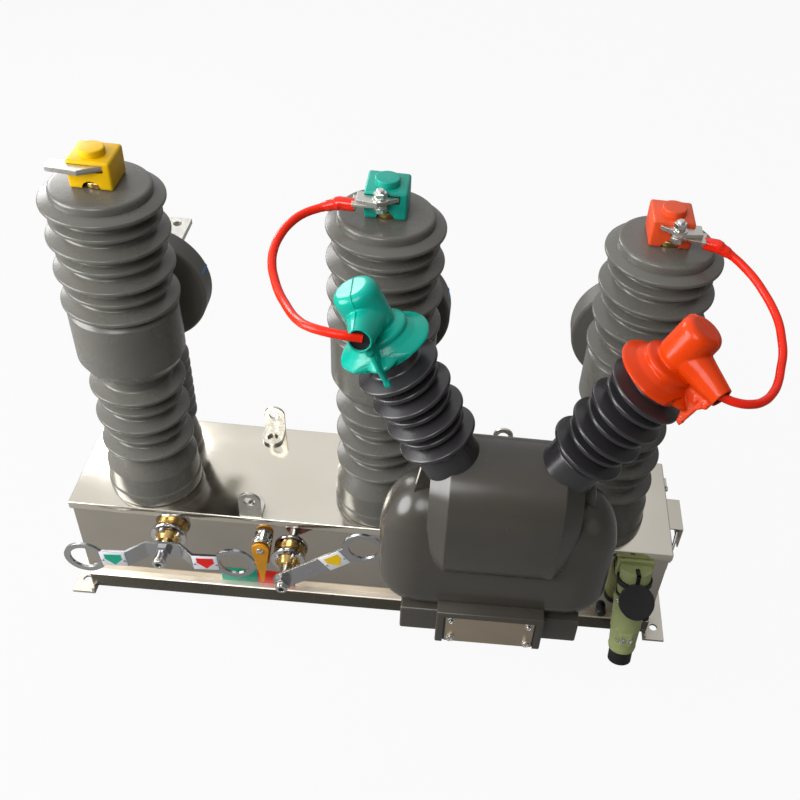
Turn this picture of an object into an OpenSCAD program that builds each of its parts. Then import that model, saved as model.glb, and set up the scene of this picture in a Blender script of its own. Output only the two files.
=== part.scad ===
// Outdoor vacuum circuit breaker with rear current transformers and a front voltage transformer.
// Millimetres. +Z is up, +X runs along the box, the front with its levers faces -Y.
// The origin is on the ground, at the centre of the bolt holes in the two feet.

/* [Box] */
// Length of the lid along X
box_width = 904; // [860:1:1000]
// Depth of the lid along Y
box_depth = 198; // [190:1:230]
// Height of the lid's top above the ground
box_top = 200; // [190:1:240]
// How far the lid stands out past the walls
lid_overhang = 4; // [3:0.5:6]
// Sheet thickness of the lid
lid_sheet = 2.5; // [1.5:0.1:2.8]
// Height of the lid's folded lip
lid_lip = 14; // [8:1:20]
// Height of the base tray
tray_height = 30; // [20:1:36]
// How far the tray's ledge stands out past the front and rear walls
tray_ledge = 12; // [6:1:16]
// How far the tray's ends stay inside the walls
tray_inset = 2; // [0:0.5:6]

/* [Feet] */
// Clear height under the tray
foot_height = 13; // [11:1:20]
// Length of a foot along Y
foot_length = 226; // [216:1:260]
// Width of the flange that is bolted down
foot_flange = 31; // [26:1:45]
// Sheet thickness of a foot
foot_sheet = 4; // [3:0.5:5]
// Diameter of the bolt holes
foot_hole = 13; // [9:0.5:15]
// Distance between the bolt holes of one foot
foot_hole_pitch = 176; // [150:1:190]

/* [Poles] */
// Distance between neighbouring poles
pole_pitch = 340; // [320:1:352]
// Distance of the poles' axes in front of the box's middle
pole_forward = 29; // [27:1:31]
// Radius of the base on the lid
base_r = 66.5; // [62:0.5:69]
// Height of the base's cylindrical wall
base_wall = 52; // [40:1:56]
// Rim radius of the lower large sheds
lower_shed_r = 63.7; // [58:0.1:66]
// Radius of the lower core
lower_core_r = 45; // [40:0.5:50]
// Distance between the lower large sheds
lower_shed_pitch = 52.3; // [48:0.1:54]
// Radius of the plain drum at mid height
drum_r = 70; // [66:0.5:72]
// Rim radius of the upper large sheds
upper_shed_r = 73.6; // [70:0.1:75]
// Radius of the upper core
upper_core_r = 55; // [50:0.5:60]
// Distance between the upper large sheds
upper_shed_pitch = 46.7; // [42:0.1:50]
// How much smaller a small shed's rim is than a large one's
shed_step = 7; // [4:0.5:10]
// Radius of the top disc
head_r = 60; // [56:0.5:64]
// Rounding of the top disc's edge
head_round = 8; // [4:0.5:8.5]
// Height of the top disc
head_height = 11; // [9:0.5:14]

/* [Current transformers] */
// Outer radius of a current transformer
ct_r = 83.5; // [78:0.5:90]
// Thickness of a current transformer
ct_thickness = 40; // [32:0.5:40]
// Rounding of its rim
ct_round = 5; // [2:0.5:8]
// Radius of the moulded arm that carries it
arm_r = 38; // [32:0.5:42]
// Distance from the pole's axis to the current transformer's front face
ct_reach = 78; // [78:0.5:82]
// Rib radius of the lead column under it
column_rib_r = 46; // [42:0.5:48]
// Core radius of the lead column
column_core_r = 39; // [34:0.5:40]
// Distance between the ribs of the lead column
column_rib_pitch = 18; // [16:0.5:22]
// Width of the rear terminal pad
pad_width = 34; // [28:1:44]
// Thickness of the rear terminal pad
pad_thickness = 8; // [6:0.5:12]
// Length of the rear terminal pad
pad_length = 139; // [110:1:150]
// Diameter of the hole in the rear terminal pad
pad_hole = 13; // [9:0.5:15]

/* [Top terminals] */
// Side of the square cover
cover_side = 51; // [46:0.5:54]
// Height of the cover
cover_height = 36; // [33:0.5:39]
// Wall of the cover
cover_wall = 3; // [2:0.25:4]
// Radius of the round boss on the cover
cover_boss_r = 15; // [11:0.5:16]
// Height of the terminal palm's underside above the pole
palm_lift = 26; // [24:0.5:26.5]
// Thickness of the terminal palm
palm_thickness = 5; // [4:0.5:6]
// Diameter of the bolt hole in the palm
palm_hole = 11; // [9:0.5:12]
// Radius of the copper stem
stem_r = 14; // [10:0.5:15]

/* [Levers] */
// Radius of the two lever shafts
shaft_r = 8; // [6:0.5:9]
// Reach of the shafts from the front wall
shaft_reach = 70; // [66:1:74]
// Thickness of the lever plates
lever_plate = 4; // [3:0.5:5]
// Height of a lever's arm
lever_arm = 30; // [24:1:34]
// Outer radius of a lever's ring
ring_outer_r = 30; // [27:0.5:31]
// Inner radius of a lever's ring
ring_inner_r = 21.5; // [18:0.5:23]
// Distance from the charging shaft to each of its rings
charge_arm_length = 110; // [104:1:112]
// Turn of the charging lever at rest, left end down
charge_rest_turn = 4; // [0:1:8]
// Distance from the trip shaft to its ring
trip_arm_length = 150; // [140:1:152]
// Rise of the trip lever at rest
trip_rest_rise = 37; // [30:1:40]
// Radius of the pointer's round head
pointer_head_r = 13; // [11:0.5:15]
// Length from the pointer's pivot to its tip
pointer_length = 76; // [66:1:80]

/* [Voltage transformer] */
// Width across the two domes
vt_width = 305; // [296:1:320]
// Half depth of the domes, which is also their crown radius
vt_dome_r = 50; // [47:0.5:54]
// Corner rounding of the domes across their depth
vt_dome_round = 46; // [36:0.5:46]
// Corner rounding of the domes along their width
vt_dome_run = 57; // [46:1:60]
// Height of the domes' crown axis above the transformer's base
vt_dome_crown = 193; // [184:1:204]
// Width of the middle band
vt_band_width = 138; // [126:1:146]
// Crown radius of the middle band
vt_band_r = 70; // [66:0.5:72]
// Width of one bevel beside the band
vt_bevel = 24; // [16:0.5:26]
// Height of the band's crown axis above the transformer's base
vt_crown = 231; // [220:1:240]
// Height of the band's lower edge above the transformer's base
vt_band_low = 148; // [130:1:160]
// Width of the base
vt_base_width = 240; // [226:1:250]
// Height of the base
vt_base_height = 40; // [32:1:46]
// Width of the terminal block
vt_block_width = 142; // [130:1:150]
// Height of the terminal block
vt_block_height = 64; // [56:1:70]
// Lean of each bushing from upright
vt_lean = 26.8; // [25:0.1:28]
// Rim radius of the bushings' large sheds
vt_shed_r = 47.5; // [43:0.5:48]
// Core radius of the bushings
vt_core_r = 29; // [25:0.5:32]
// Distance between the bushings' large sheds
vt_shed_pitch = 36.3; // [34:0.1:37]
// Plate thickness of the bracket that carries the transformer
bracket_plate = 6; // [5:0.5:8]
// Width of one bracket arm
bracket_width = 40; // [32:1:44]
// Depth of the bracket arms' turned-down webs
bracket_web = 34; // [24:1:40]

/* [Boots and leads] */
// Radius of a boot's skirt
boot_skirt_r = 49; // [46:0.5:51]
// Radius of a boot's cap
boot_cap_r = 23.5; // [23:0.5:25]
// Radius of a boot's pleat
boot_pleat_r = 32; // [29:0.5:34]
// Length of the left boot's spout from the bushing's axis
left_spout = 58; // [56:1:64]
// Length of the right boot's spout from the bushing's axis
right_spout = 66; // [60:1:68]
// Radius of the spout's mouth
spout_mouth_r = 12.5; // [12:0.5:14]
// Radius of the bore in the spout
spout_bore_r = 10.5; // [9:0.5:11]
// Outer diameter of a jumper lead
lead_d = 10; // [8:0.5:12]

/* [Control plug] */
// Radius of the plug's shell at its upper end
plug_top_r = 27; // [24:0.5:28]
// Radius of the plug's shell at its lower end
plug_end_r = 20.5; // [18:0.5:22]
// Length of the plug's shell
plug_length = 104; // [90:1:110]
// Forward lean of the plug from upright
plug_lean = 17; // [15:0.5:20]
// Radius of the dust cap
dust_cap_r = 26; // [22:0.5:28]

/* [Hidden] */
$fn = 96;
// Clearance between fitted curved faces
fit = 0.3;
// Small overlap that lets a cut pass through a face
cut = 1;

// Box levels and walls
tray_bottom = foot_height;
tray_top = tray_bottom + tray_height;
wall_x = box_width / 2 - lid_overhang;
wall_y = box_depth / 2 - lid_overhang;
shell_top = box_top - lid_sheet;
lip_gap = 1.2;
tray_x = wall_x - tray_inset;
tray_y = wall_y + tray_ledge;
foot_inner_lap = 40;

// Poles: heights above the lid
pole_y = -pole_forward;
base_band = 18;
shoulder_top = 80;
shed_rise = 0.36;
shed_lip = 5;
lower_sheds = 3;
upper_sheds = 4;
lower_first = 93.4;
lower_last = lower_first + (lower_sheds - 1) * lower_shed_pitch;
neck = 36;
drum_taper = 18;
drum_taper_r = 9;
drum_bottom = lower_last + neck;
drum_straight = 74;
drum_top = drum_bottom + drum_taper + drum_straight;
drum_shoulder = 10;
upper_first = drum_top + drum_shoulder + 4.6;
upper_last = upper_first + (upper_sheds - 1) * upper_shed_pitch;
head_bottom = upper_last + shed_lip / 2 + shed_rise * (upper_shed_r - head_r);
pole_height = head_bottom + head_height;
pole_top = box_top + pole_height;

// Current transformers
ct_z = box_top + drum_bottom + drum_taper + 35;
ct_y = pole_y + ct_reach;
arm_end = ct_y + ct_thickness + 8;
ct_foot_width = 50;
ct_foot_drop = 13;
ct_foot_bottom = ct_z - ct_r - ct_foot_drop;
column_back = 78;
column_y = pole_y + column_back;
column_foot_r = 48;
column_foot_height = 56;
column_ribs = floor((ct_foot_bottom - box_top - column_foot_height - 8) / column_rib_pitch);
pad_boss_r = 24;
pad_boss = 8;

// Top terminals
palm_z = pole_top + palm_lift;
cover_back_shift = 7;
boss_forward = 4;
boss_height = 9;
palm_bolt = [-5, -26];
lug_plate = 3;
lug_width = 22;
lug_barrel_r = 7;
lug_barrel_start = 33;
lug_barrel_end = 51;

// Front controls: places on the front wall
front_y = -wall_y;
charge_in = 145;
charge_drop = 45;
trip_in = 322;
trip_drop = 78;
pointer_in = 282;
pointer_drop = 53;
charge_x = -box_width / 2 + charge_in;
charge_z = box_top - charge_drop;
trip_x = -box_width / 2 + trip_in;
trip_z = box_top - trip_drop;
pointer_x = -box_width / 2 + pointer_in;
pointer_z = box_top - pointer_drop;
bushing_reach = 27;
bushing_flange_r = 25;
charge_hub_reach = 38;
charge_arm_reach = 58;
trip_plate_reach = 50;
pointer_reach = 17;
pointer_plate = 3;
pointer_tip_r = 2;
bezel_r = 14;
bezel_depth = 13;
pivot_r = 4;
hub_half = 26;
bend_run = 24;

// Voltage transformer: place and levels
vt_x = 175;
vt_y = -224;
vt_z = box_top + bracket_plate;
vt_base_depth = 98;
vt_block_front = 67;
vt_apex = 143;
vt_seat = 100;
vt_collar = 50;
vt_collar_r = 37;
vt_sheds = 4;
vt_bare = 49;
vt_low = 79;
vt_dome_shift = -1.5;
vt_first = vt_seat + vt_collar + vt_bare;
vt_last = vt_first + (vt_sheds - 1) * vt_shed_pitch;
vt_end = vt_last + 14;
boot_turn_left = 93;
boot_turn_right = 48;
boot_lift_left = 8;
boot_lift_right = 0;
boot_spout_at = 52;
boot_top = 85;
boot_raise_left = 9;
boot_raise_right = 0;
boot_round = 9;
spout_root_r = 22;
spout_bore = 4.5;
fin_plate = 4.5;
rivet_r = 3.6;
rivet_height = 2;

// Control plug
plug_in = 53;
plug_origin = [box_width / 2 - plug_in, front_y - 17, box_top - 34];
plug_socket_r = 24;
plug_socket_length = 30;
plug_socket_top = 12;
plug_block = 54;
plug_block_height = 36;
plug_block_plate = 8;
plug_ring = 4;
plug_clamp_length = 23;
cap_thickness = 14;
cap_turn = 46;

// Jumper leads: from each lug's barrel in one loop to a little inside the boot's spout
lug_y = pole_y + palm_bolt[1] + 3;
lug_turn = 12;
left_route = [
    [-53, lug_y, 718], [-74, -58, 713], [-92, -70, 710], [-104, -87, 707], [-112, -106, 702],
    [-116, -127, 695], [-114, -148, 689], [-107, -169, 684], [-98, -190, 682], [-88, -209, 683],
    [-78, -229, 687], [-68, -248, 694], [-56, -264, 700], [-39, -275, 704], [-18, -279, 704],
    [3, -276, 700]
];
right_route = [
    [392, -62, 718], [411, -70, 711], [426, -81, 704], [438, -95, 698], [448, -110, 691],
    [456, -128, 685], [462, -147, 678], [464, -166, 671], [464, -186, 664], [460, -205, 658],
    [455, -224, 654], [446, -243, 653], [434, -258, 653], [418, -269, 656], [398, -273, 660],
    [379, -269, 664]
];
lead_sides = 10;

// Half outline of one shed on a core, from below its rim to its upper root
function shed(core, rim, z) = [
    [core, z - shed_lip / 2 - 1.5],
    [rim - shed_lip / 2, z - shed_lip / 2],
    [rim, z - shed_lip / 5],
    [rim, z + shed_lip / 5],
    [rim - shed_lip / 2, z + shed_lip / 2],
    [core, z + shed_lip / 2 + shed_rise * (rim - core)]
];

// Half outline of a stack of large sheds with a small one between each pair
function shed_stack(core, rim, first, pitch, count) = [
    for (i = [0 : 2 * count - 2], p = shed(core, i % 2 == 0 ? rim : rim - shed_step, first + i * pitch / 2)) p
];

// Points on a quarter round about a centre, from angle a to angle b
function round_points(centre, r, a, b, steps = 6) = [
    for (i = [0 : steps]) centre + r * [cos(a + (b - a) * i / steps), sin(a + (b - a) * i / steps)]
];

// Half outline of a whole pole, heights above the lid
function pole_outline() = concat(
    [[0, 0], [base_r, 0], [base_r, base_band], [base_r - 1.5, base_band + 2], [base_r - 2.5, base_wall],
     [lower_core_r + 4, shoulder_top]],
    shed_stack(lower_core_r, lower_shed_r, lower_first, lower_shed_pitch, lower_sheds),
    [[lower_core_r, drum_bottom], [drum_r - drum_taper_r, drum_bottom], [drum_r, drum_bottom + drum_taper],
     [drum_r, drum_top], [upper_core_r + 4, drum_top + drum_shoulder]],
    shed_stack(upper_core_r, upper_shed_r, upper_first, upper_shed_pitch, upper_sheds),
    [[upper_core_r, head_bottom], [head_r, head_bottom]],
    round_points([head_r - head_round, pole_height - head_round], head_round, 0, 90),
    [[0, pole_height]]
);

// Ring of one station along a lead's route, square to the way it runs
function unit(v) = v / norm(v);
function way(route, i) = unit(route[min(i + 1, len(route) - 1)] - route[max(i - 1, 0)]);
function ring(route, i, r) =
    let (t = way(route, i), a = unit(cross(t, [0, 0.6, 1])), b = cross(t, a))
    [for (k = [0 : lead_sides - 1]) route[i] + r * (cos(k * 360 / lead_sides) * a + sin(k * 360 / lead_sides) * b)];

// One closed tube swept along a route
module lead(route, r) {
    last = len(route) - 1;
    points = [for (i = [0 : last], p = ring(route, i, r)) p];
    walls = [
        for (i = [0 : last - 1], k = [0 : lead_sides - 1])
            let (n = (k + 1) % lead_sides, a = i * lead_sides, b = a + lead_sides)
            each [[a + k, b + k, b + n], [a + k, b + n, a + n]]
    ];
    ends = [
        [for (k = [0 : lead_sides - 1]) k],
        [for (k = [lead_sides - 1 : -1 : 0]) last * lead_sides + k]
    ];
    polyhedron(points, concat(walls, ends), convexity = 6);
}

// Turns a solid drawn along +Z so that it points out of the front wall
module from_front_wall(x, z) {
    translate([x, front_y, z])
        rotate([90, 0, 0])
            children();
}

// Foot: a folded strip whose flange lies on the ground, side -1 or 1
module foot(side) {
    color("gainsboro")
        mirror([side < 0 ? 1 : 0, 0, 0])
            translate([tray_x, 0, 0])
                difference() {
                    union() {
                        translate([-foot_sheet, -foot_length / 2, 0])
                            cube([foot_flange + foot_sheet, foot_length, foot_sheet]);
                        translate([-foot_sheet, -foot_length / 2, 0])
                            cube([foot_sheet, foot_length, foot_height]);
                        translate([-foot_inner_lap, -foot_length / 2, foot_height - foot_sheet])
                            cube([foot_inner_lap, foot_length, foot_sheet]);
                    }
                    for (y = [-1, 1])
                        translate([foot_flange / 2, y * foot_hole_pitch / 2, -cut])
                            cylinder(h = foot_sheet + 2 * cut, d = foot_hole);
                }
}

module base_tray() {
    color("silver")
        translate([-tray_x, -tray_y, tray_bottom])
            cube([2 * tray_x, 2 * tray_y, tray_height]);
}

module box_shell() {
    color("whitesmoke")
        translate([-wall_x, -wall_y, tray_top])
            cube([2 * wall_x, 2 * wall_y, shell_top - tray_top]);
}

module lid() {
    color("whitesmoke")
        difference() {
            translate([-box_width / 2, -box_depth / 2, box_top - lid_lip])
                cube([box_width, box_depth, lid_lip]);
            translate([-wall_x - lip_gap, -wall_y - lip_gap, box_top - lid_lip - cut])
                cube([2 * (wall_x + lip_gap), 2 * (wall_y + lip_gap), lid_lip - lid_sheet + cut]);
        }
}

// Lifting lug: a bent strip with an upright eye and a like foot that points towards the box's middle
lug_eye_r = 16;
lug_eye_hole = 8.5;
lug_eye_height = 33;
lug_eye_plate = 4;
lug_foot = 24;
lug_x = 184;
lug_edge = 3;
module lug_leg(length) {
    linear_extrude(lug_eye_plate)
        difference() {
            union() {
                translate([-lug_eye_r, 0])
                    square([2 * lug_eye_r, length]);
                translate([0, length])
                    circle(r = lug_eye_r);
            }
            translate([0, length])
                circle(r = lug_eye_hole);
        }
}
module lifting_lug(side) {
    mirror([0, side > 0 ? 1 : 0, 0]) {
        translate([0, lug_eye_plate, 0])
            rotate([90, 0, 0])
                lug_leg(lug_eye_height);
        lug_leg(lug_foot);
    }
}

module lifting_lugs() {
    color("lightgray")
        for (x = [-lug_x, lug_x], side = [-1, 1])
            translate([x, side * (box_depth / 2 - lug_edge), box_top])
                lifting_lug(side);
}

// Hood on the right wall, open at its front and underneath
hood_reach = 30;
hood_length = 64;
hood_height = 42;
hood_sheet = 2;
hood_y = 4;
hood_drop = 18;
module side_hood() {
    color("gainsboro")
        translate([wall_x, hood_y - hood_length / 2, box_top - hood_drop - hood_height])
            difference() {
                cube([hood_reach, hood_length, hood_height]);
                translate([hood_sheet, -cut, -cut])
                    cube([hood_reach - 2 * hood_sheet, hood_length - hood_sheet + cut, hood_height - hood_sheet + cut]);
            }
}

// Pole: revolved sheds, drum and base, with the moulded arm that carries the current transformer
module pole(x) {
    color("dimgray")
        translate([x, pole_y, 0]) {
            translate([0, 0, box_top])
                rotate_extrude()
                    polygon(pole_outline());
            translate([0, 0, ct_z])
                rotate([-90, 0, 0])
                    cylinder(h = arm_end - pole_y, r = arm_r);
        }
}

// Current transformer: a thick ring on the arm with a square foot below
module current_transformer(x) {
    half = ct_thickness / 2;
    color("gray")
        translate([x, ct_y, ct_z])
            difference() {
                union() {
                    rotate([-90, 0, 0])
                        rotate_extrude()
                            polygon(concat(
                                [[0, 0], [ct_r - ct_round, 0]],
                                round_points([ct_r - ct_round, ct_round], ct_round, -90, 0, 4),
                                round_points([ct_r - ct_round, ct_thickness - ct_round], ct_round, 0, 90, 4),
                                [[0, ct_thickness]]
                            ));
                    translate([-ct_foot_width / 2, ct_round, -ct_r - ct_foot_drop])
                        cube([ct_foot_width, ct_thickness - 2 * ct_round, ct_r / 2]);
                }
                translate([0, -cut, 0])
                    rotate([-90, 0, 0])
                        cylinder(h = ct_thickness + 2 * cut, r = arm_r + fit);
            }
}

// Lead column: a ribbed post behind the pole, cut away where it hugs the pole
function column_outline() = concat(
    [[0, 0], [column_foot_r, 0], [column_foot_r, 10], [column_core_r, column_foot_height]],
    [
        for (i = [0 : column_ribs - 1], p = [
            [column_core_r, column_foot_height + (i + 0.15) * column_rib_pitch],
            [column_rib_r, column_foot_height + (i + 0.4) * column_rib_pitch],
            [column_rib_r, column_foot_height + (i + 0.6) * column_rib_pitch],
            [column_core_r, column_foot_height + (i + 0.85) * column_rib_pitch]
        ]) p
    ],
    [[column_core_r, ct_foot_bottom - box_top], [0, ct_foot_bottom - box_top]]
);
module lead_column(x) {
    color("dimgray")
        difference() {
            translate([x, column_y, box_top])
                rotate_extrude()
                    polygon(column_outline());
            translate([x, pole_y, box_top - cut])
                cylinder(h = ct_foot_bottom - box_top + 2 * cut, r = base_r + fit);
        }
}

// Rear terminal: a round boss on the arm's end and a flat pad with one bolt hole
module rear_terminal(x) {
    color("silver")
        translate([x, arm_end, ct_z])
            difference() {
                union() {
                    rotate([-90, 0, 0])
                        cylinder(h = pad_boss, r = pad_boss_r);
                    translate([-pad_width / 2, 0, -pad_thickness / 2])
                        cube([pad_width, pad_length, pad_thickness]);
                }
                translate([0, pad_length - pad_width / 2, -pad_thickness / 2 - cut])
                    cylinder(h = pad_thickness + 2 * cut, d = pad_hole);
            }
}

// Top terminal: copper stem and a bent palm that leaves the cover at its front, turned to one side
palm_long = 46;
palm_short = 33;
palm_right = 16;
palm_front = 36;
palm_front_long = 33;
palm_back = 8;
palm_tail = 12;
module top_terminal(x, side, reach, front) {
    color("silver")
        translate([x, pole_y, pole_top])
            mirror([side > 0 ? 1 : 0, 0, 0])
                difference() {
                    union() {
                        cylinder(h = palm_lift, r = stem_r);
                        translate([0, 0, palm_lift])
                            linear_extrude(palm_thickness)
                                polygon([
                                    [-reach, -front + 4], [-8, -front], [palm_right, -front + 16],
                                    [palm_right, palm_back], [-palm_right, palm_back], [-palm_right, -palm_tail],
                                    [-reach, -palm_tail]
                                ]);
                    }
                    translate([palm_bolt[0], palm_bolt[1], palm_lift - cut])
                        cylinder(h = palm_thickness + 2 * cut, d = palm_hole);
                }
}

// Cover: a square cap with a round boss, a front slot for the palm and arched lower edges
slot_gap = 1;
arch_r = 11;
module terminal_cover(x, side, colour) {
    color(colour)
        translate([x, pole_y + cover_back_shift, pole_top])
            mirror([side > 0 ? 1 : 0, 0, 0])
                difference() {
                    union() {
                        translate([-cover_side / 2, -cover_side / 2, 0])
                            cube([cover_side, cover_side, cover_height]);
                        translate([0, -boss_forward, cover_height])
                            cylinder(h = boss_height, r = cover_boss_r);
                    }
                    translate([-cover_side / 2 + cover_wall, -cover_side / 2 + cover_wall, -cut])
                        cube([cover_side - 2 * cover_wall, cover_side - 2 * cover_wall,
                              cover_height - cover_wall + cut]);
                    translate([-cover_side / 2 - cut, -cover_side / 2 - cut, palm_lift - lug_plate - slot_gap])
                        cube([cover_side / 2 + palm_right + slot_gap + cut, cover_side / 2,
                              palm_thickness + lug_plate + 2 * slot_gap]);
                    translate([0, -cover_side / 2 - cut, 0])
                        rotate([-90, 0, 0])
                            cylinder(h = cover_side + 2 * cut, r = arch_r);
                }
}

// Cable lug: a flat tongue under the palm and the barrel that holds the lead, turned about its bolt
module cable_lug(x, side, turn) {
    color("silver")
        translate([x, pole_y, pole_top + palm_lift - lug_plate - fit])
            mirror([side > 0 ? 1 : 0, 0, 0])
                translate([palm_bolt[0], palm_bolt[1], 0])
                    rotate([0, 0, turn])
                        difference() {
                            union() {
                                translate([-lug_barrel_start, 3 - lug_width / 2, 0])
                                    cube([lug_barrel_start, lug_width, lug_plate]);
                                cylinder(h = lug_plate, r = lug_width / 2 - 3);
                                translate([-lug_barrel_end, 3, lug_plate - lug_barrel_r])
                                    rotate([0, 90, 0])
                                        cylinder(h = lug_barrel_end - lug_barrel_start + 4, r = lug_barrel_r);
                            }
                            translate([0, 0, -cut])
                                cylinder(h = lug_plate + 2 * cut, d = palm_hole);
                        }
}

// Bushing on the front wall for a lever's shaft
module shaft_bushing(x, z) {
    color("goldenrod")
        from_front_wall(x, z)
            rotate_extrude()
                polygon([
                    [shaft_r + fit, 0], [bushing_flange_r - 1, 0], [bushing_flange_r - 1, 5],
                    [bushing_flange_r - 4, 6], [bushing_flange_r - 4, 9], [bushing_flange_r, 10],
                    [bushing_flange_r, 15], [bushing_flange_r - 9, 16], [shaft_r + 4, bushing_reach],
                    [shaft_r + fit, bushing_reach]
                ]);
}

module shaft(r, reach, nut_at) {
    translate([0, 0, fit])
        cylinder(h = reach - fit, r = r);
    translate([0, 0, nut_at])
        cylinder(h = 8, r = r + 4, $fn = 6);
}

// Flat ring drawn in the lever's plane
module lever_ring() {
    difference() {
        circle(r = ring_outer_r);
        circle(r = ring_inner_r);
    }
}

// Charging lever: a flat bar set back at its hub, with a ring at each end, on its shaft
module charge_lever() {
    hub_back = charge_hub_reach;
    arm_back = charge_arm_reach;
    arm_in = hub_half + bend_run;
    arm_out = charge_arm_length - ring_inner_r - 3;
    color("silver")
        from_front_wall(charge_x, charge_z)
            rotate([0, 0, charge_rest_turn]) {
                shaft(shaft_r, shaft_reach, charge_hub_reach + lever_plate);
                difference() {
                    translate([0, lever_arm / 2, 0])
                        rotate([90, 0, 0])
                            linear_extrude(lever_arm)
                                polygon([
                                    [-arm_out, arm_back], [-arm_in, arm_back], [-hub_half, hub_back],
                                    [hub_half, hub_back], [arm_in, arm_back], [arm_out, arm_back],
                                    [arm_out, arm_back + lever_plate], [arm_in - 1, arm_back + lever_plate],
                                    [hub_half - 1, hub_back + lever_plate], [1 - hub_half, hub_back + lever_plate],
                                    [1 - arm_in, arm_back + lever_plate], [-arm_out, arm_back + lever_plate]
                                ]);
                    for (s = [-1, 1])
                        translate([s * charge_arm_length, 0, arm_back - cut])
                            cylinder(h = lever_plate + 2 * cut, r = ring_inner_r + 1);
                }
                for (s = [-1, 1])
                    translate([s * charge_arm_length, 0, arm_back])
                        linear_extrude(lever_plate)
                            lever_ring();
            }
}

// Trip lever: one straight arm that rises to a ring, on its shaft
module trip_lever() {
    color("silver")
        from_front_wall(trip_x, trip_z)
            rotate([0, 0, trip_rest_rise]) {
                shaft(shaft_r, shaft_reach, trip_plate_reach + lever_plate);
                translate([0, 0, trip_plate_reach])
                    linear_extrude(lever_plate) {
                        circle(r = lever_arm / 2);
                        difference() {
                            translate([0, -lever_arm / 2])
                                square([trip_arm_length, lever_arm]);
                            translate([trip_arm_length, 0])
                                circle(r = ring_inner_r + 1);
                        }
                        translate([trip_arm_length, 0])
                            lever_ring();
                    }
            }
}

// Pointer: a teardrop plate on a small pivot, hanging from the bezel
module pointer() {
    reach = pointer_length - pointer_tip_r;
    swing = acos((pointer_head_r - pointer_tip_r) / reach);
    color("orange")
        from_front_wall(pointer_x, pointer_z) {
            translate([0, 0, fit])
                cylinder(h = pointer_reach + pointer_plate + 3, r = pivot_r);
            translate([0, 0, pointer_reach])
                linear_extrude(pointer_plate) {
                    circle(r = pointer_head_r);
                    translate([0, -reach])
                        circle(r = pointer_tip_r);
                    polygon([
                        pointer_head_r * [sin(swing), -cos(swing)],
                        [pointer_tip_r * sin(swing), -reach - pointer_tip_r * cos(swing)],
                        [-pointer_tip_r * sin(swing), -reach - pointer_tip_r * cos(swing)],
                        pointer_head_r * [-sin(swing), -cos(swing)]
                    ]);
                }
        }
}

module pointer_bezel() {
    color("silver")
        from_front_wall(pointer_x, pointer_z)
            rotate_extrude()
                polygon([
                    [pivot_r + fit, 0], [bezel_r, 0], [bezel_r, 4], [bezel_r - 2, 5], [bezel_r - 2, 8],
                    [bezel_r, 9], [bezel_r - 1, bezel_depth], [pivot_r + fit, bezel_depth]
                ]);
}

// Bracket: two angle arms bolted on the lid that reach out under the transformer's base
bracket_offset = 65;
bracket_back = 36;
bracket_front = -262;
module vt_bracket() {
    web_back = -box_depth / 2 - 4;
    color("silver")
        for (s = [-1, 1])
            translate([vt_x + s * bracket_offset, 0, 0]) {
                translate([-bracket_width / 2, bracket_front, box_top])
                    cube([bracket_width, bracket_back - bracket_front, bracket_plate]);
                translate([s * (bracket_width - bracket_plate) / 2 - bracket_plate / 2, bracket_front,
                           box_top - bracket_web])
                    cube([bracket_plate, web_back - bracket_front, bracket_web]);
            }
}

// Half outline of the domes and of the band, drawn along X with the distance from the crown's axis
function dome_point(end, a) = [
    end * (vt_width / 2 - vt_dome_run) + vt_dome_run * cos(a), vt_dome_r - vt_dome_round + vt_dome_round * sin(a)
];
function dome_outline() = concat(
    [[-vt_width / 2, 0]],
    [for (a = [180 : -11.25 : 90]) dome_point(-1, a)],
    [for (a = [90 : -11.25 : 0]) dome_point(1, a)],
    [[vt_width / 2, 0]]
);
function band_outline() = [
    [-vt_band_width / 2 - vt_bevel, 0], [-vt_band_width / 2 - vt_bevel, vt_dome_r - 1],
    [-vt_band_width / 2, vt_band_r], [vt_band_width / 2, vt_band_r],
    [vt_band_width / 2 + vt_bevel, vt_dome_r - 1], [vt_band_width / 2 + vt_bevel, 0]
];

// Half turn of an outline about an axis that runs along X
module half_turn(outline) {
    rotate([90, 0, 90])
        rotate_extrude(angle = 180)
            polygon([for (p = outline) [p[1], p[0]]]);
}

// One half outline turned over the crown and run straight down from it on both sides
module crowned(outline, crown, low) {
    translate([0, 0, crown])
        half_turn(outline);
    translate([0, 0, low])
        linear_extrude(crown - low)
            union() {
                polygon(outline);
                mirror([0, 1])
                    polygon(outline);
            }
}

// Place of one bushing's axis in the transformer's frame, drawn along +Z from the apex of the V
module on_bushing(side) {
    translate([vt_x, vt_y, vt_z + vt_apex])
        rotate([0, side * vt_lean, 0])
            children();
}

module vt_body() {
    color("dimgray")
        difference() {
            translate([vt_x, vt_y, vt_z]) {
                translate([vt_dome_shift, 0, 0])
                    crowned(dome_outline(), vt_dome_crown, vt_low);
                translate([vt_dome_shift, 0, vt_low])
                    mirror([0, 0, 1])
                        half_turn(dome_outline());
                crowned(band_outline(), vt_crown, vt_band_low);
                translate([-vt_base_width / 2, -vt_base_depth / 2, 0])
                    cube([vt_base_width, vt_base_depth, vt_base_height + cut]);
                translate([-vt_block_width / 2, -vt_block_front, 0])
                    cube([vt_block_width, vt_block_front, vt_block_height]);
            }
            for (side = [-1, 1])
                on_bushing(side)
                    translate([0, 0, vt_seat])
                        cylinder(h = vt_collar + 40, r = vt_collar_r + fit);
        }
}

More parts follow.
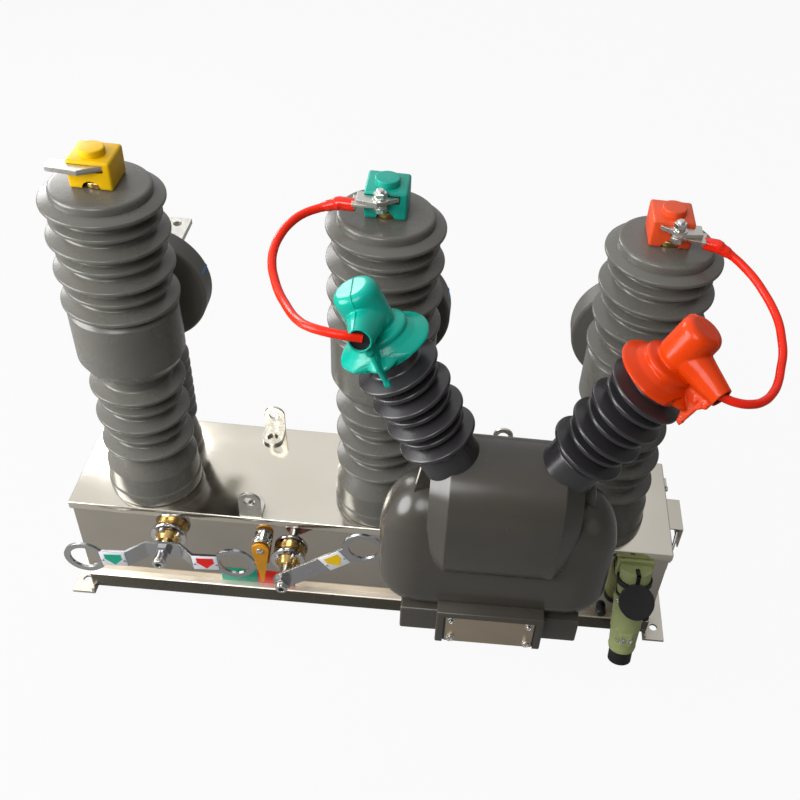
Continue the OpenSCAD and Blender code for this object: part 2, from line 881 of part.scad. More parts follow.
// Bushing of the voltage transformer: collar, sheds and a flat end under the boot
module vt_bushing(side, raise) {
    color("#3a383b")
        on_bushing(side)
            rotate_extrude()
                polygon(concat(
                    [[0, vt_seat], [vt_collar_r, vt_seat], [vt_collar_r, vt_first - 12],
                     [vt_core_r + 3, vt_first - 8]],
                    shed_stack(vt_core_r, vt_shed_r, vt_first, vt_shed_pitch, vt_sheds),
                    [[vt_core_r, vt_end + raise], [0, vt_end + raise]]
                ));
}

// Boot: flared skirt, pleat, groove and rounded cap, with a bored spout and a riveted flap below it
module boot(side, turn, lift, raise, spout, colour) {
    color(colour)
        on_bushing(side)
            translate([0, 0, vt_end + raise])
                rotate([0, 0, side > 0 ? -turn : turn + 180])
                    difference() {
                        union() {
                            rotate_extrude()
                                polygon(boot_outline());
                            on_spout(lift)
                                cylinder(h = spout, r1 = spout_root_r, r2 = spout_mouth_r);
                            flap(lift, spout);
                        }
                        on_spout(lift)
                            translate([0, 0, spout - spout_bore])
                                cylinder(h = spout_bore + cut, r = spout_bore_r);
                    }
}

function boot_outline() = concat(
    [[0, 0], [vt_core_r + 2, 0], [boot_skirt_r - 3, 8], [boot_skirt_r, 10], [boot_skirt_r, 12],
     [boot_skirt_r - 2, 14], [boot_pleat_r + 5, 20], [boot_pleat_r - 1, 27], [boot_pleat_r, 29],
     [boot_pleat_r, 32], [boot_pleat_r - 2, 34], [boot_cap_r - 2, 37], [boot_cap_r - 1, 40], [boot_cap_r, 44]],
    round_points([boot_cap_r - boot_round, boot_top - boot_round], boot_round, 0, 90, 6),
    [[0, boot_top]]
);

// Turns a solid drawn along +Z so that it runs out along a boot's spout
module on_spout(lift) {
    translate([0, 0, boot_spout_at])
        rotate([0, 90 - lift, 0])
            children();
}

// Flap: the flat seam under the spout, held by three rivets on each face
module flap(lift, spout) {
    mouth = boot_spout_at + (spout - 3) * sin(lift) - spout_mouth_r;
    edge = (spout - 3) * cos(lift);
    tip = boot_skirt_r + 3;
    turned_up() {
        linear_extrude(fin_plate, center = true)
            polygon([
                [0, 30], [boot_skirt_r - 8, 14], [tip - 3, -6], [tip + 3, -8], [tip + 4, 20],
                [edge - 3, mouth - 12], [edge, mouth - 10], [edge, mouth + 3], [0, boot_spout_at]
            ]);
        for (place = [[tip, -3], [tip - 5, 27], [edge - 4, mouth - 7]])
            translate([place[0], place[1], 0])
                cylinder(h = fin_plate + 2 * rivet_height, r = rivet_r, center = true, $fn = 32);
    }
}
module turned_up() {
    rotate([90, 0, 0])
        children();
}

module jumper_left() {
    color("orangered")
        lead(left_route, lead_d / 2);
}

module jumper_right() {
    color("orangered")
        lead(right_route, lead_d / 2);
}

// Control plug: drawn along -Z from the socket and leaned forward
module on_plug() {
    translate(plug_origin)
        rotate([-plug_lean, 0, 0])
            mirror([0, 0, 1])
                children();
}

module plug_socket() {
    color("darkolivegreen")
        difference() {
            union() {
                on_plug()
                    translate([0, 0, -plug_socket_top])
                        cylinder(h = plug_socket_length + plug_socket_top, r = plug_socket_r);
                translate([plug_origin[0] - plug_block / 2, front_y - plug_block_plate,
                           box_top - lid_lip - 2 - plug_block_height])
                    cube([plug_block, plug_block_plate, plug_block_height]);
            }
            translate([plug_origin[0] - plug_block, front_y, 0])
                cube([2 * plug_block, wall_y, box_top]);
        }
}

module plug_shell() {
    start = plug_socket_length + plug_ring;
    color("olivedrab")
        on_plug() {
            translate([0, 0, plug_socket_length])
                cylinder(h = plug_ring, r = plug_socket_r - 2);
            translate([0, 0, start])
                cylinder(h = plug_length, r1 = plug_top_r, r2 = plug_end_r);
        }
}

module plug_clamp() {
    color("black")
        on_plug()
            translate([0, 0, plug_socket_length + plug_ring + plug_length])
                cylinder(h = plug_clamp_length, r = plug_end_r - 2);
}

// Dust cap: a collar around the socket's neck, a short strap and the cap that leans on it
strap_width = 10;
strap_plate = 3;
collar_at = 6;
collar_height = 8;
cap_reach = 52;
cap_place = plug_origin + [-2, -cap_reach, -2];
module plug_cap() {
    neck_r = plug_socket_r + fit;
    color("black") {
        difference() {
            on_plug()
                translate([0, 0, collar_at])
                    cylinder(h = collar_height, r = neck_r + strap_plate);
            on_plug()
                cylinder(h = collar_at + collar_height + 2 * cut, r = neck_r);
            translate([plug_origin[0] - plug_block, front_y - plug_block_plate - fit, 0])
                cube([2 * plug_block, wall_y, box_top]);
        }
        translate(cap_place + [-strap_width / 2, 10, 1])
            cube([strap_width, 16, 2 * strap_plate]);
        translate(cap_place)
            rotate([cap_turn, 0, 0])
                cylinder(h = cap_thickness, r = dust_cap_r, center = true);
    }
}

foot(-1);  // foot_left
foot(1);  // foot_right
base_tray();
box_shell();
lid();
lifting_lugs();
side_hood();
pole(-pole_pitch);  // pole_left
pole(0);  // pole_centre
pole(pole_pitch);  // pole_right
current_transformer(-pole_pitch);  // current_transformer_left
current_transformer(0);  // current_transformer_centre
current_transformer(pole_pitch);  // current_transformer_right
lead_column(-pole_pitch);  // lead_column_left
lead_column(0);  // lead_column_centre
lead_column(pole_pitch);  // lead_column_right
rear_terminal(-pole_pitch);  // rear_terminal_left
rear_terminal(0);  // rear_terminal_centre
rear_terminal(pole_pitch);  // rear_terminal_right
top_terminal(-pole_pitch, -1, palm_long, palm_front_long);  // top_terminal_left
top_terminal(0, -1, palm_short, palm_front);  // top_terminal_centre
top_terminal(pole_pitch, 1, palm_short, palm_front);  // top_terminal_right
terminal_cover(-pole_pitch, -1, "gold");  // terminal_cover_left
terminal_cover(0, -1, "lightseagreen");  // terminal_cover_centre
terminal_cover(pole_pitch, 1, "orangered");  // terminal_cover_right
cable_lug(0, -1, 0);  // cable_lug_centre
cable_lug(pole_pitch, 1, lug_turn);  // cable_lug_right
shaft_bushing(charge_x, charge_z);  // charge_bushing
shaft_bushing(trip_x, trip_z);  // trip_bushing
pointer_bezel();
charge_lever();
trip_lever();
pointer();
vt_bracket();
vt_body();
vt_bushing(-1, boot_raise_left);  // vt_bushing_left
vt_bushing(1, boot_raise_right);  // vt_bushing_right
boot(-1, boot_turn_left, boot_lift_left, boot_raise_left, left_spout, "mediumseagreen");  // boot_left
boot(1, boot_turn_right, boot_lift_right, boot_raise_right, right_spout, "orangered");  // boot_right
jumper_left();
jumper_right();
plug_socket();
plug_shell();
plug_clamp();
plug_cap();
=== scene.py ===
# %% [markdown]
# # Vacuum circuit breaker with a voltage transformer
#
# A stainless box carries three moulded poles. Behind each pole sits a current transformer, and in front of
# the box a voltage transformer stands on a bracket, joined to two poles by red jumper leads. The CAD model
# gives every size. This lesson dresses it: it rebuilds the moulded pieces with soft edges, adds the small
# parts that a drawing leaves out, and gives each surface a finish made of shader nodes.

import math

import bmesh
import bpy
import numpy as np
from mathutils import Matrix, Vector
from mathutils.geometry import interpolate_bezier


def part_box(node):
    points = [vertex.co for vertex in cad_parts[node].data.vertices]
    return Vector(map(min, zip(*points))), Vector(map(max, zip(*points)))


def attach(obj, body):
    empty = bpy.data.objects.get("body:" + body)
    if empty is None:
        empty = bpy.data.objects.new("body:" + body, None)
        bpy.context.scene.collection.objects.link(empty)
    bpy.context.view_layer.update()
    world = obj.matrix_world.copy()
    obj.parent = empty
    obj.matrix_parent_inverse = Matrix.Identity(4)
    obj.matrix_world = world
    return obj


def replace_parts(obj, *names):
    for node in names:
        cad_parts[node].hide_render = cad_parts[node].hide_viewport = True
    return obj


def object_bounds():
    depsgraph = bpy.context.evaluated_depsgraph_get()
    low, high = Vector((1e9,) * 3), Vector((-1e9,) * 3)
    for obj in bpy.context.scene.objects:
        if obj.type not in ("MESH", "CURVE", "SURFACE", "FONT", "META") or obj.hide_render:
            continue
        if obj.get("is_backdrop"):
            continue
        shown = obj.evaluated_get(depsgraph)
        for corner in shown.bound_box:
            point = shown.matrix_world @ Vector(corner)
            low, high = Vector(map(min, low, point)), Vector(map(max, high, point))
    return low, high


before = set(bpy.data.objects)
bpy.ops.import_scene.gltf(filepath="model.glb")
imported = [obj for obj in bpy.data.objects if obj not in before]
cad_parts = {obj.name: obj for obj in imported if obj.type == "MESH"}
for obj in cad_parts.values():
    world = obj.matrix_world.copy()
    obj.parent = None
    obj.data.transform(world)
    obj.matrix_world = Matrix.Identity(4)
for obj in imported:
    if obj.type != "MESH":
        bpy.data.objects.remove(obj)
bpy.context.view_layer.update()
MM = 0.001


def add(name, data):
    """A new object with this data, linked into the scene."""
    made = bpy.data.objects.new(name, data)
    bpy.context.scene.collection.objects.link(made)
    return made


# %% [markdown]
# ## Camera
#
# The picture was taken from above the front of the box with the camera rolled a few degrees. A camera in
# Blender looks along its own -Z, so its matrix is built from three directions: right, up and backwards.
# The small shift moves the frame without turning the view, as a cropped photograph does.

# %% Camera at the photograph's viewing angle
CAMERA_PLACE = (0.1047, -1.0669, 1.3300)
YAW, PITCH, ROLL = (math.radians(a) for a in (3.092, 43.026, 7.456))
FOCAL_LENGTH, SENSOR = 44.52, 36.0
SHIFT_X, SHIFT_Y = -0.117, 0.037

forward = Vector((math.sin(YAW) * math.cos(PITCH), math.cos(YAW) * math.cos(PITCH), -math.sin(PITCH)))
level = Vector((math.cos(YAW), -math.sin(YAW), 0))
right = math.cos(ROLL) * level + math.sin(ROLL) * level.cross(forward)
camera = add("camera", bpy.data.cameras.new("camera"))
camera.data.sensor_width, camera.data.lens = SENSOR, FOCAL_LENGTH
camera.data.shift_x, camera.data.shift_y = SHIFT_X, SHIFT_Y
turn = Matrix((right, right.cross(forward), -forward)).transposed().to_4x4()
camera.matrix_world = Matrix.Translation(CAMERA_PLACE) @ turn
bpy.context.scene.camera = camera
print("camera looks along", [round(v, 3) for v in forward])

# %% [markdown]
# ## Shared surface effects
#
# Real surfaces are never one flat colour. Three small node groups bring that in, and every finish below
# uses them with its own numbers. `tone drift` mixes two colours by soft noise, `polish drift` lets the
# roughness wander between two values, and `skin` puts out a height for a Bump node: a slow ripple as on
# a casting, or a fine grain as on rubber. Object coordinates are used because every piece shares one frame
# in metres, so a pattern has the same real size on all of them.

# %% Helpers that make a node group
def new_group(name, inputs, outputs):
    """An empty shader group with named float or colour sockets, ready for its nodes."""
    group = bpy.data.node_groups.new(name, "ShaderNodeTree")
    for socket, default in inputs.items():
        kind = "NodeSocketColor" if isinstance(default, tuple) else "NodeSocketFloat"
        group.interface.new_socket(socket, in_out="INPUT", socket_type=kind).default_value = default
    for socket, kind in outputs.items():
        group.interface.new_socket(socket, in_out="OUTPUT", socket_type=kind)
    return group, group.nodes.new("NodeGroupInput"), group.nodes.new("NodeGroupOutput")


def fill(node, **values):
    """Sets a node's sockets by name, with _ for a space."""
    for name, value in values.items():
        node.inputs[name.replace("_", " ")].default_value = value
    return node


def calc(tree, operation, *values):
    """The result of a Math node over sockets or numbers."""
    made = tree.nodes.new("ShaderNodeMath")
    made.operation = operation
    for socket, value in zip(made.inputs, values):
        if isinstance(value, bpy.types.NodeSocket):
            tree.links.new(value, socket)
        else:
            socket.default_value = value
    return made.outputs["Value"]


def noise(tree, scale, detail=3.0):
    """Noise over object coordinates. Scale is a socket that holds waves per metre."""
    where = tree.nodes.new("ShaderNodeTexCoord")
    made = fill(tree.nodes.new("ShaderNodeTexNoise"), Detail=detail)
    tree.links.new(where.outputs["Object"], made.inputs["Vector"])
    tree.links.new(scale, made.inputs["Scale"])
    return made.outputs["Fac"]


def spread(tree, value, low, high):
    """Stretches the middle part of a value to the range from 0 to 1."""
    made = fill(tree.nodes.new("ShaderNodeMapRange"), From_Min=low, From_Max=high)
    tree.links.new(value, made.inputs["Value"])
    return made.outputs["Result"]


# %% Group: tone drift
WHITE, SECOND_SHARE = (1, 1, 1, 1), 0.5
tone_drift, taken, given = new_group(
    "tone drift", {"Colour": WHITE, "Second colour": WHITE, "Scale": 12.0}, {"Colour": "NodeSocketColor"})
patches = spread(tone_drift, noise(tone_drift, taken.outputs["Scale"]), 0.35, 0.65)
mix = tone_drift.nodes.new("ShaderNodeMix")
mix.data_type = "RGBA"
tone_drift.links.new(calc(tone_drift, "MULTIPLY", patches, SECOND_SHARE), mix.inputs["Factor"])
tone_drift.links.new(taken.outputs["Colour"], mix.inputs["A"])
tone_drift.links.new(taken.outputs["Second colour"], mix.inputs["B"])
tone_drift.links.new(mix.outputs["Result"], given.inputs["Colour"])
print("group:", tone_drift.name)

# %% Group: polish drift
polish_drift, taken, given = new_group(
    "polish drift", {"Shiny": 0.2, "Dull": 0.4, "Scale": 30.0}, {"Roughness": "NodeSocketFloat"})
made = fill(polish_drift.nodes.new("ShaderNodeMapRange"), From_Min=0.3, From_Max=0.7)
polish_drift.links.new(noise(polish_drift, taken.outputs["Scale"], 5.0), made.inputs["Value"])
polish_drift.links.new(taken.outputs["Shiny"], made.inputs["To Min"])
polish_drift.links.new(taken.outputs["Dull"], made.inputs["To Max"])
polish_drift.links.new(made.outputs["Result"], given.inputs["Roughness"])
print("group:", polish_drift.name)

# %% Group: skin, a slow ripple and a fine grain in one height
skin, taken, given = new_group(
    "skin", {"Ripple scale": 20.0, "Grain scale": 900.0, "Grain share": 0.3}, {"Height": "NodeSocketFloat"})
blend = skin.nodes.new("ShaderNodeMix")
skin.links.new(taken.outputs["Grain share"], blend.inputs["Factor"])
skin.links.new(noise(skin, taken.outputs["Ripple scale"], 1.0), blend.inputs["A"])
skin.links.new(noise(skin, taken.outputs["Grain scale"], 2.0), blend.inputs["B"])
skin.links.new(blend.outputs["Result"], given.inputs["Height"])
print("group:", skin.name)

# %% [markdown]
# ## Finishes
#
# A Principled BSDF stands in each material, and the three groups feed its colour, roughness and normal.
# What is the same all over the surface, such as metalness or gloss, is set on the shader's own socket.
# Colours are written as the sRGB codes that a paint chart would give.


# %% A finish from a few numbers
def colour(code):
    """Linear colour from an sRGB hex code."""
    parts = [int(code[i:i + 2], 16) / 255 for i in (1, 3, 5)]
    return (*[c / 12.92 if c <= 0.04045 else ((c + 0.055) / 1.055) ** 2.4 for c in parts], 1)


def use(tree, group, **values):
    """Places a shared group in a material and sets its sockets."""
    made = tree.nodes.new("ShaderNodeGroup")
    made.node_tree = group
    return fill(made, **values)


POLISH_FINENESS = 3


def finish(name, main, second, shiny, dull, patch, ripple, grain, grain_share, relief, depth,
           metal=0.0, soft_edge=0.0, gloss=0.5):
    """One procedural material. Relief and depth drive the bump, soft_edge rounds CAD edges in the shading."""
    made = bpy.data.materials.new(name)
    made.use_nodes = True
    tree = made.node_tree
    shader = tree.nodes["Principled BSDF"]
    tone = use(tree, tone_drift, Colour=colour(main), Second_colour=colour(second), Scale=patch)
    polish = use(tree, polish_drift, Shiny=shiny, Dull=dull, Scale=patch * POLISH_FINENESS)
    height = use(tree, skin, Ripple_scale=ripple, Grain_scale=grain, Grain_share=grain_share)
    bump = fill(tree.nodes.new("ShaderNodeBump"), Strength=relief, Distance=depth)
    tree.links.new(height.outputs["Height"], bump.inputs["Height"])
    if soft_edge:
        edge = fill(tree.nodes.new("ShaderNodeBevel"), Radius=soft_edge)
        edge.samples = 4
        tree.links.new(edge.outputs["Normal"], bump.inputs["Normal"])
    tree.links.new(tone.outputs["Colour"], shader.inputs["Base Color"])
    tree.links.new(polish.outputs["Roughness"], shader.inputs["Roughness"])
    tree.links.new(bump.outputs["Normal"], shader.inputs["Normal"])
    fill(shader, Metallic=metal, Specular_IOR_Level=gloss)
    return made


# %% The finishes of this object
sheet = dict(metal=1.0, patch=7.0, ripple=9.0, grain=260.0, grain_share=0.15, relief=0.12, depth=0.0005)
resin = dict(patch=9.0, ripple=26.0, grain=420.0, grain_share=0.25, relief=0.14, depth=0.0006)
rubber = dict(patch=26.0, ripple=45.0, grain=1500.0, grain_share=0.6, relief=0.12, depth=0.0004)
small = dict(metal=1.0, patch=40.0, ripple=60.0, grain=700.0, grain_share=0.3, relief=0.05, depth=0.0002)
brushed = dict(metal=1.0, patch=14.0, ripple=20.0, grain=1400.0, grain_share=0.3, relief=0.05, depth=0.0002)
plastic = dict(patch=30.0, ripple=40.0, grain=1200.0, grain_share=0.6, relief=0.15, depth=0.0004)
# Two colours, the least and greatest roughness, and the kind of surface
FINISHES = {
    "lid_steel": ("#e0d9cb", "#d4ccbd", 0.10, 0.19, sheet),
    # The wall's steel is a darker copy of the lid's steel: painted shade.
    "wall_steel_painted_shade": ("#c6beb2", "#b5aea3", 0.03, 0.07, dict(sheet, relief=0.04)),
    # The two ledge finishes are one steel in two copies: the dark one on the tray's sides is painted shade,
    # the light one on its top is painted light.
    "ledge_steel_painted_shade": ("#746f64", "#5f5b50", 0.2, 0.36, sheet),
    "ledge_top_steel_painted_light": ("#e6dfd3", "#d6cec0", 0.42, 0.55, sheet),
    "foot_steel": ("#cdc7bb", "#b9b3a7", 0.18, 0.34, dict(sheet, soft_edge=0.0008)),
    "plate_metal": ("#bfb09c", "#ac9d8a", 0.3, 0.42, sheet),
    "pole_resin": ("#605e58", "#55534d", 0.21, 0.31, dict(resin, gloss=0.45)),
    "ring_resin": ("#706e68", "#62605b", 0.34, 0.5, dict(resin, gloss=0.3)),
    "body_resin": ("#423e38", "#393631", 0.2, 0.28, dict(resin, gloss=0.47)),
    "bushing_resin": ("#2b292b", "#242224", 0.24, 0.34, dict(resin, gloss=0.6)),
    "yellow_rubber": ("#dcae00", "#cd9f00", 0.36, 0.5, dict(rubber, gloss=0.25)),
    "green_rubber": ("#129a88", "#0d8c7a", 0.3, 0.44, dict(rubber, gloss=0.35)),
    "red_rubber": ("#d94d22", "#cb451c", 0.3, 0.44, dict(rubber, gloss=0.35)),
    "boot_green": ("#02a28e", "#01927f", 0.17, 0.26, dict(rubber, gloss=0.26)),
    "boot_orange": ("#cf3a06", "#c13304", 0.17, 0.26, dict(rubber, gloss=0.22)),
    "lead_red": ("#ee2606", "#e21f03", 0.24, 0.36, dict(rubber, gloss=0.3)),
    "sleeve_red": ("#e8240c", "#d41d09", 0.10, 0.2, dict(rubber, gloss=0.5)),
    "tinned_metal": ("#d2d0c8", "#b7b4ab", 0.26, 0.42, dict(small, soft_edge=0.0008)),
    "bright_zinc": ("#d9d8d4", "#bdbbb5", 0.16, 0.3, dict(small, soft_edge=0.0004)),
    "lever_steel": ("#b9b9ba", "#aeadae", 0.2, 0.28, dict(brushed, soft_edge=0.0007)),
    "chrome": ("#d6d6d8", "#c6c6c8", 0.05, 0.11, dict(small, soft_edge=0.0006)),
    "brass": ("#cfae6e", "#bf9b58", 0.18, 0.32, dict(small, soft_edge=0.0006)),
    # Real black plastic on the plug, seal, strap and knobs; the same finish makes the dark discs in the boot
    # mouths and shaft ends, which are painted shade.
    "black_plastic": ("#17171a", "#1f1f22", 0.38, 0.55, dict(plastic, soft_edge=0.0008, gloss=0.35)),
    "olive_paint": ("#9aa26e", "#8d9561", 0.3, 0.45, dict(plastic, soft_edge=0.001, gloss=0.35)),
    "orange_paint": ("#d99406", "#cb8602", 0.3, 0.45, dict(plastic, soft_edge=0.0005)),
    "label_white": ("#d4d6dc", "#c8cad0", 0.3, 0.42, plastic),
    "label_green": ("#0e987b", "#0a8b70", 0.3, 0.42, dict(plastic, gloss=0.3)),
    "label_red": ("#d01508", "#c11206", 0.3, 0.42, dict(plastic, gloss=0.3)),
    "label_yellow": ("#dfb808", "#d3ab04", 0.3, 0.42, dict(plastic, gloss=0.3)),
    "label_blue": ("#3f86c4", "#3577b2", 0.3, 0.42, plastic),
}
looks = {}
for name, (main, second, shiny, dull, surface) in FINISHES.items():
    looks[name] = finish(name, main, second, shiny, dull, **surface)
print("finishes:", len(looks))

# %% [markdown]
# ## Jumper leads
#
# A lead is a fixed length of flexible wire, so it is a curve and not a block: a Bezier spline through the
# same points as the CAD tube, with a round bevel. Automatic handles keep its bends smooth. Each lead starts
# in the barrel of a cable lug and goes back into the object, inside the mouth of a boot.

# %% The two leads
LEAD_DIAMETER = 0.010
LEFT_ROUTE = [
    (-53, -52, 718), (-74, -58, 713), (-92, -70, 710), (-104, -87, 707), (-112, -106, 702), (-116, -127, 695),
    (-114, -148, 689), (-107, -169, 684), (-98, -190, 682), (-88, -209, 683), (-78, -229, 687),
    (-68, -248, 694), (-56, -264, 700), (-39, -275, 704), (-18, -279, 704), (3, -276, 700)]
RIGHT_ROUTE = [
    (392, -62, 718), (411, -70, 711), (426, -81, 704), (438, -95, 698), (448, -110, 691), (456, -128, 685),
    (462, -147, 678), (464, -166, 671), (464, -186, 664), (460, -205, 658), (455, -224, 654),
    (446, -243, 653), (434, -258, 653), (418, -269, 656), (398, -273, 660), (379, -269, 664)]


def lead(name, route):
    """A curve with one spline through the route, as thick as the wire."""
    line = bpy.data.curves.new(name, "CURVE")
    line.dimensions = "3D"
    line.bevel_depth, line.bevel_resolution = LEAD_DIAMETER / 2, 6
    line.resolution_u, line.use_fill_caps = 10, True
    spline = line.splines.new("BEZIER")
    spline.bezier_points.add(len(route) - 1)
    for knot, place in zip(spline.bezier_points, route):
        knot.co = Vector(place) * MM
        knot.handle_left_type = knot.handle_right_type = "AUTO"
    line.materials.append(looks["lead_red"])
    made = add(name, line)
    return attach(made, "breaker")


lead_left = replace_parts(lead("lead_left", LEFT_ROUTE), "jumper_left")
lead_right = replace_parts(lead("lead_right", RIGHT_ROUTE), "jumper_right")
print("leads:", lead_left.name, lead_right.name)

# %% [markdown]
# ## Mesh helpers
#
# Most of this object is turned or moulded, so a few helpers do most of the work. `lathe` turns an outline
# round an axis, `rounded` softens the outline's corners first, and `block` makes a box with rolled edges.
# All of them take millimetres and add to a bmesh, and `piece` turns the result into an object on a body.


# %% From a bmesh to a piece
def mesh_object(name, shape):
    """An object from a bmesh, with its faces turned outwards. The bmesh is freed."""
    bmesh.ops.recalc_face_normals(shape, faces=shape.faces)
    mesh = bpy.data.meshes.new(name)
    shape.to_mesh(mesh)
    shape.free()
    return add(name, mesh)


def piece(name, shape, material, body="breaker", stands_for=(), crease=32):
    """Turns a bmesh into an object with a finish, on a body. Edges above the crease angle stay sharp."""
    made = mesh_object(name, shape)
    made.data.shade_smooth()
    made.data.set_sharp_from_angle(angle=math.radians(crease))
    made.data.materials.append(looks[material])
    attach(made, body)
    if stands_for:
        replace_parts(made, *stands_for)
    return made


def at(x, y, z):
    return Matrix.Translation((x, y, z))


def spin(degrees, axis):
    return Matrix.Rotation(math.radians(degrees), 4, axis)


# %% Outlines and turned shapes
def rounded(points, radius, steps=4):
    """The same outline with each inner corner bent over a radius, or over its own where a list is given."""
    radii = radius if isinstance(radius, list) else [radius] * len(points)
    out = [points[0]]
    for i in range(1, len(points) - 1):
        here, back, on = (Vector(points[k]) for k in (i, i - 1, i + 1))
        a, b = back - here, on - here
        corner = a.angle(b)
        run = min(radii[i] / math.tan(corner / 2) if corner < 3.1 else 0, 0.48 * a.length, 0.48 * b.length)
        if run < 0.05:
            out.append(points[i])
            continue
        start, end = here + a.normalized() * run, here + b.normalized() * run
        for s in (k / steps for k in range(steps + 1)):
            out.append(tuple((1 - s) ** 2 * start + 2 * s * (1 - s) * here + s ** 2 * end))
    return out + [points[-1]]


def lathe(shape, outline, place=Matrix(), turns=96):
    """Turns (radius, height) points round the Z axis of a place."""
    rings = []
    for r, z in outline:
        count = turns if r > 1e-6 else 1
        angles = (2 * math.pi * k / turns for k in range(count))
        rings.append([shape.verts.new((place @ Vector((r * math.cos(a), r * math.sin(a), z))) * MM)
                      for a in angles])
    for low, high in zip(rings, rings[1:]):
        for k in range(turns):
            n = (k + 1) % turns
            corners = [low[k % len(low)], low[n % len(low)], high[n % len(high)], high[k % len(high)]]
            corners = list(dict.fromkeys(corners))
            if len(corners) > 2:
                shape.faces.new(corners)
    return shape


def loft(shape, sections, place=Matrix()):
    """Joins closed sections of equal length into a skin and closes both ends."""
    rings = [[shape.verts.new((place @ Vector(p)) * MM) for p in section] for section in sections]
    for low, high in zip(rings, rings[1:]):
        for k in range(len(low)):
            n = (k + 1) % len(low)
            shape.faces.new((low[k], low[n], high[n], high[k]))
    shape.faces.new(rings[0])
    shape.faces.new(rings[-1])
    return shape


# %% Blocks, plates and cuts
def block(shape, low, high, roll=0.0, place=Matrix(), steps=3):
    """A box between two corners with all its edges rolled."""
    made = bmesh.ops.create_cube(shape, size=1.0)["verts"]
    size = Vector(high) - Vector(low)
    middle = (Vector(high) + Vector(low)) / 2
    for v in made:
        v.co = Vector(a * b for a, b in zip(v.co, size)) + middle
    edges = list({e for v in made for e in v.link_edges})
    if roll:
        bent = bmesh.ops.bevel(shape, geom=edges, offset=roll, segments=steps, profile=0.5, affect="EDGES")
        made = list({v for f in bent["faces"] for v in f.verts} | {v for v in made if v.is_valid})
    for v in made:
        v.co = (place @ v.co) * MM
    return shape


def plate(shape, outline, low, high, place=Matrix()):
    """A flat plate of a given outline between two heights."""
    sections = [[(x, y, z) for x, y in outline] for z in (low, high)]
    return loft(shape, sections, place)


def carve(name, solid, cutters):
    """The solid minus the cutters, by exact booleans, as a new bmesh."""
    body = mesh_object(name + "_solid", solid)
    tools = [mesh_object(f"{name}_cutter_{i}", c) for i, c in enumerate(cutters)]
    for tool in tools:
        step = body.modifiers.new("cut", "BOOLEAN")
        step.operation, step.solver, step.object = "DIFFERENCE", "EXACT", tool
    bpy.context.view_layer.update()
    result = bmesh.new()
    cut_mesh = body.evaluated_get(bpy.context.evaluated_depsgraph_get()).to_mesh()
    result.from_mesh(cut_mesh)
    for made in [body, *tools]:
        bpy.data.objects.remove(made)
    return result


# %% Rods, hexagons and places on the front wall
FRONT_Y = -95


def front(x, z, turn=0):
    """A place on the front wall with X along the wall, Y up and Z out of it."""
    return at(x, FRONT_Y, z) @ spin(90, "X") @ spin(turn, "Z")


def tube(shape, path, radii, place=Matrix(), sides=10):
    """A round rod along a path, with one radius or one for each point."""
    radii = radii if isinstance(radii, list) else [radii] * len(path)
    points = [Vector(p) for p in path]
    sections = []
    for i, (middle, r) in enumerate(zip(points, radii)):
        along = points[min(i + 1, len(points) - 1)] - points[max(i - 1, 0)]
        across = along.cross((0.13, 0.6, 1)).normalized()
        other = along.cross(across).normalized()
        angles = (2 * math.pi * k / sides for k in range(sides))
        sections.append([middle + r * (math.cos(a) * across + math.sin(a) * other) for a in angles])
    return loft(shape, sections, place)


def hexagon(shape, flat, low, high, place=Matrix()):
    """A nut or bolt head with its corners broken at both ends. Flat is half the width over flats."""
    corners = [(flat / math.cos(math.pi / 6), math.radians(60 * k)) for k in range(6)]
    levels = [(0.9, low), (1, low + 0.12 * flat), (1, high - 0.12 * flat), (0.9, high)]
    sections = [[(s * r * math.cos(a), s * r * math.sin(a), z) for r, a in corners] for s, z in levels]
    return loft(shape, sections, place)


print("helpers ready")

# %% [markdown]
# ## Poles
#
# A pole is cast in resin: a wide base, a row of sheds that throw off the rain, a plain drum at mid height,
# and a second row of sheds under a flat head. The casting has no sharp corner, so its outline gets a small
# radius at each rim and a larger one at each root before it is turned. A short arm on each drum carries the
# ring of a current transformer, and two of the rings have a plain blue stripe.

# %% Outline of a row of sheds
POLE_XS = {"left": -340, "centre": 0, "right": 340}
POLE_Y, LID_TOP = -29, 200
SHED_RISE, RIM_ROUND, ROOT_ROUND = 0.36, 2.4, 4.5
SHED_UNDER, RIM_LOW, RIM_HIGH, SHED_OVER = 4, 2.6, 2.4, 2.5


def sheds(core, rim, first, step, count, drop):
    """Points and radii of alternating large and small sheds. Drop is how much smaller a small one is."""
    points, radii = [], []
    for i in range(count):
        edge, z = rim - drop * (i % 2), first + i * step
        points += [(core, z - SHED_UNDER), (edge, z - RIM_LOW), (edge, z + RIM_HIGH),
                   (core, z + SHED_OVER + SHED_RISE * (edge - core))]
        radii += [ROOT_ROUND, RIM_ROUND, RIM_ROUND, ROOT_ROUND]
    return points, radii


def row(*parts):
    """Joins outline parts, each a list of points with one radius or a pair of points and radii."""
    points, radii = [], []
    for part, r in parts:
        points += part
        radii += r if isinstance(r, list) else [r] * len(part)
    return rounded(points, radii)


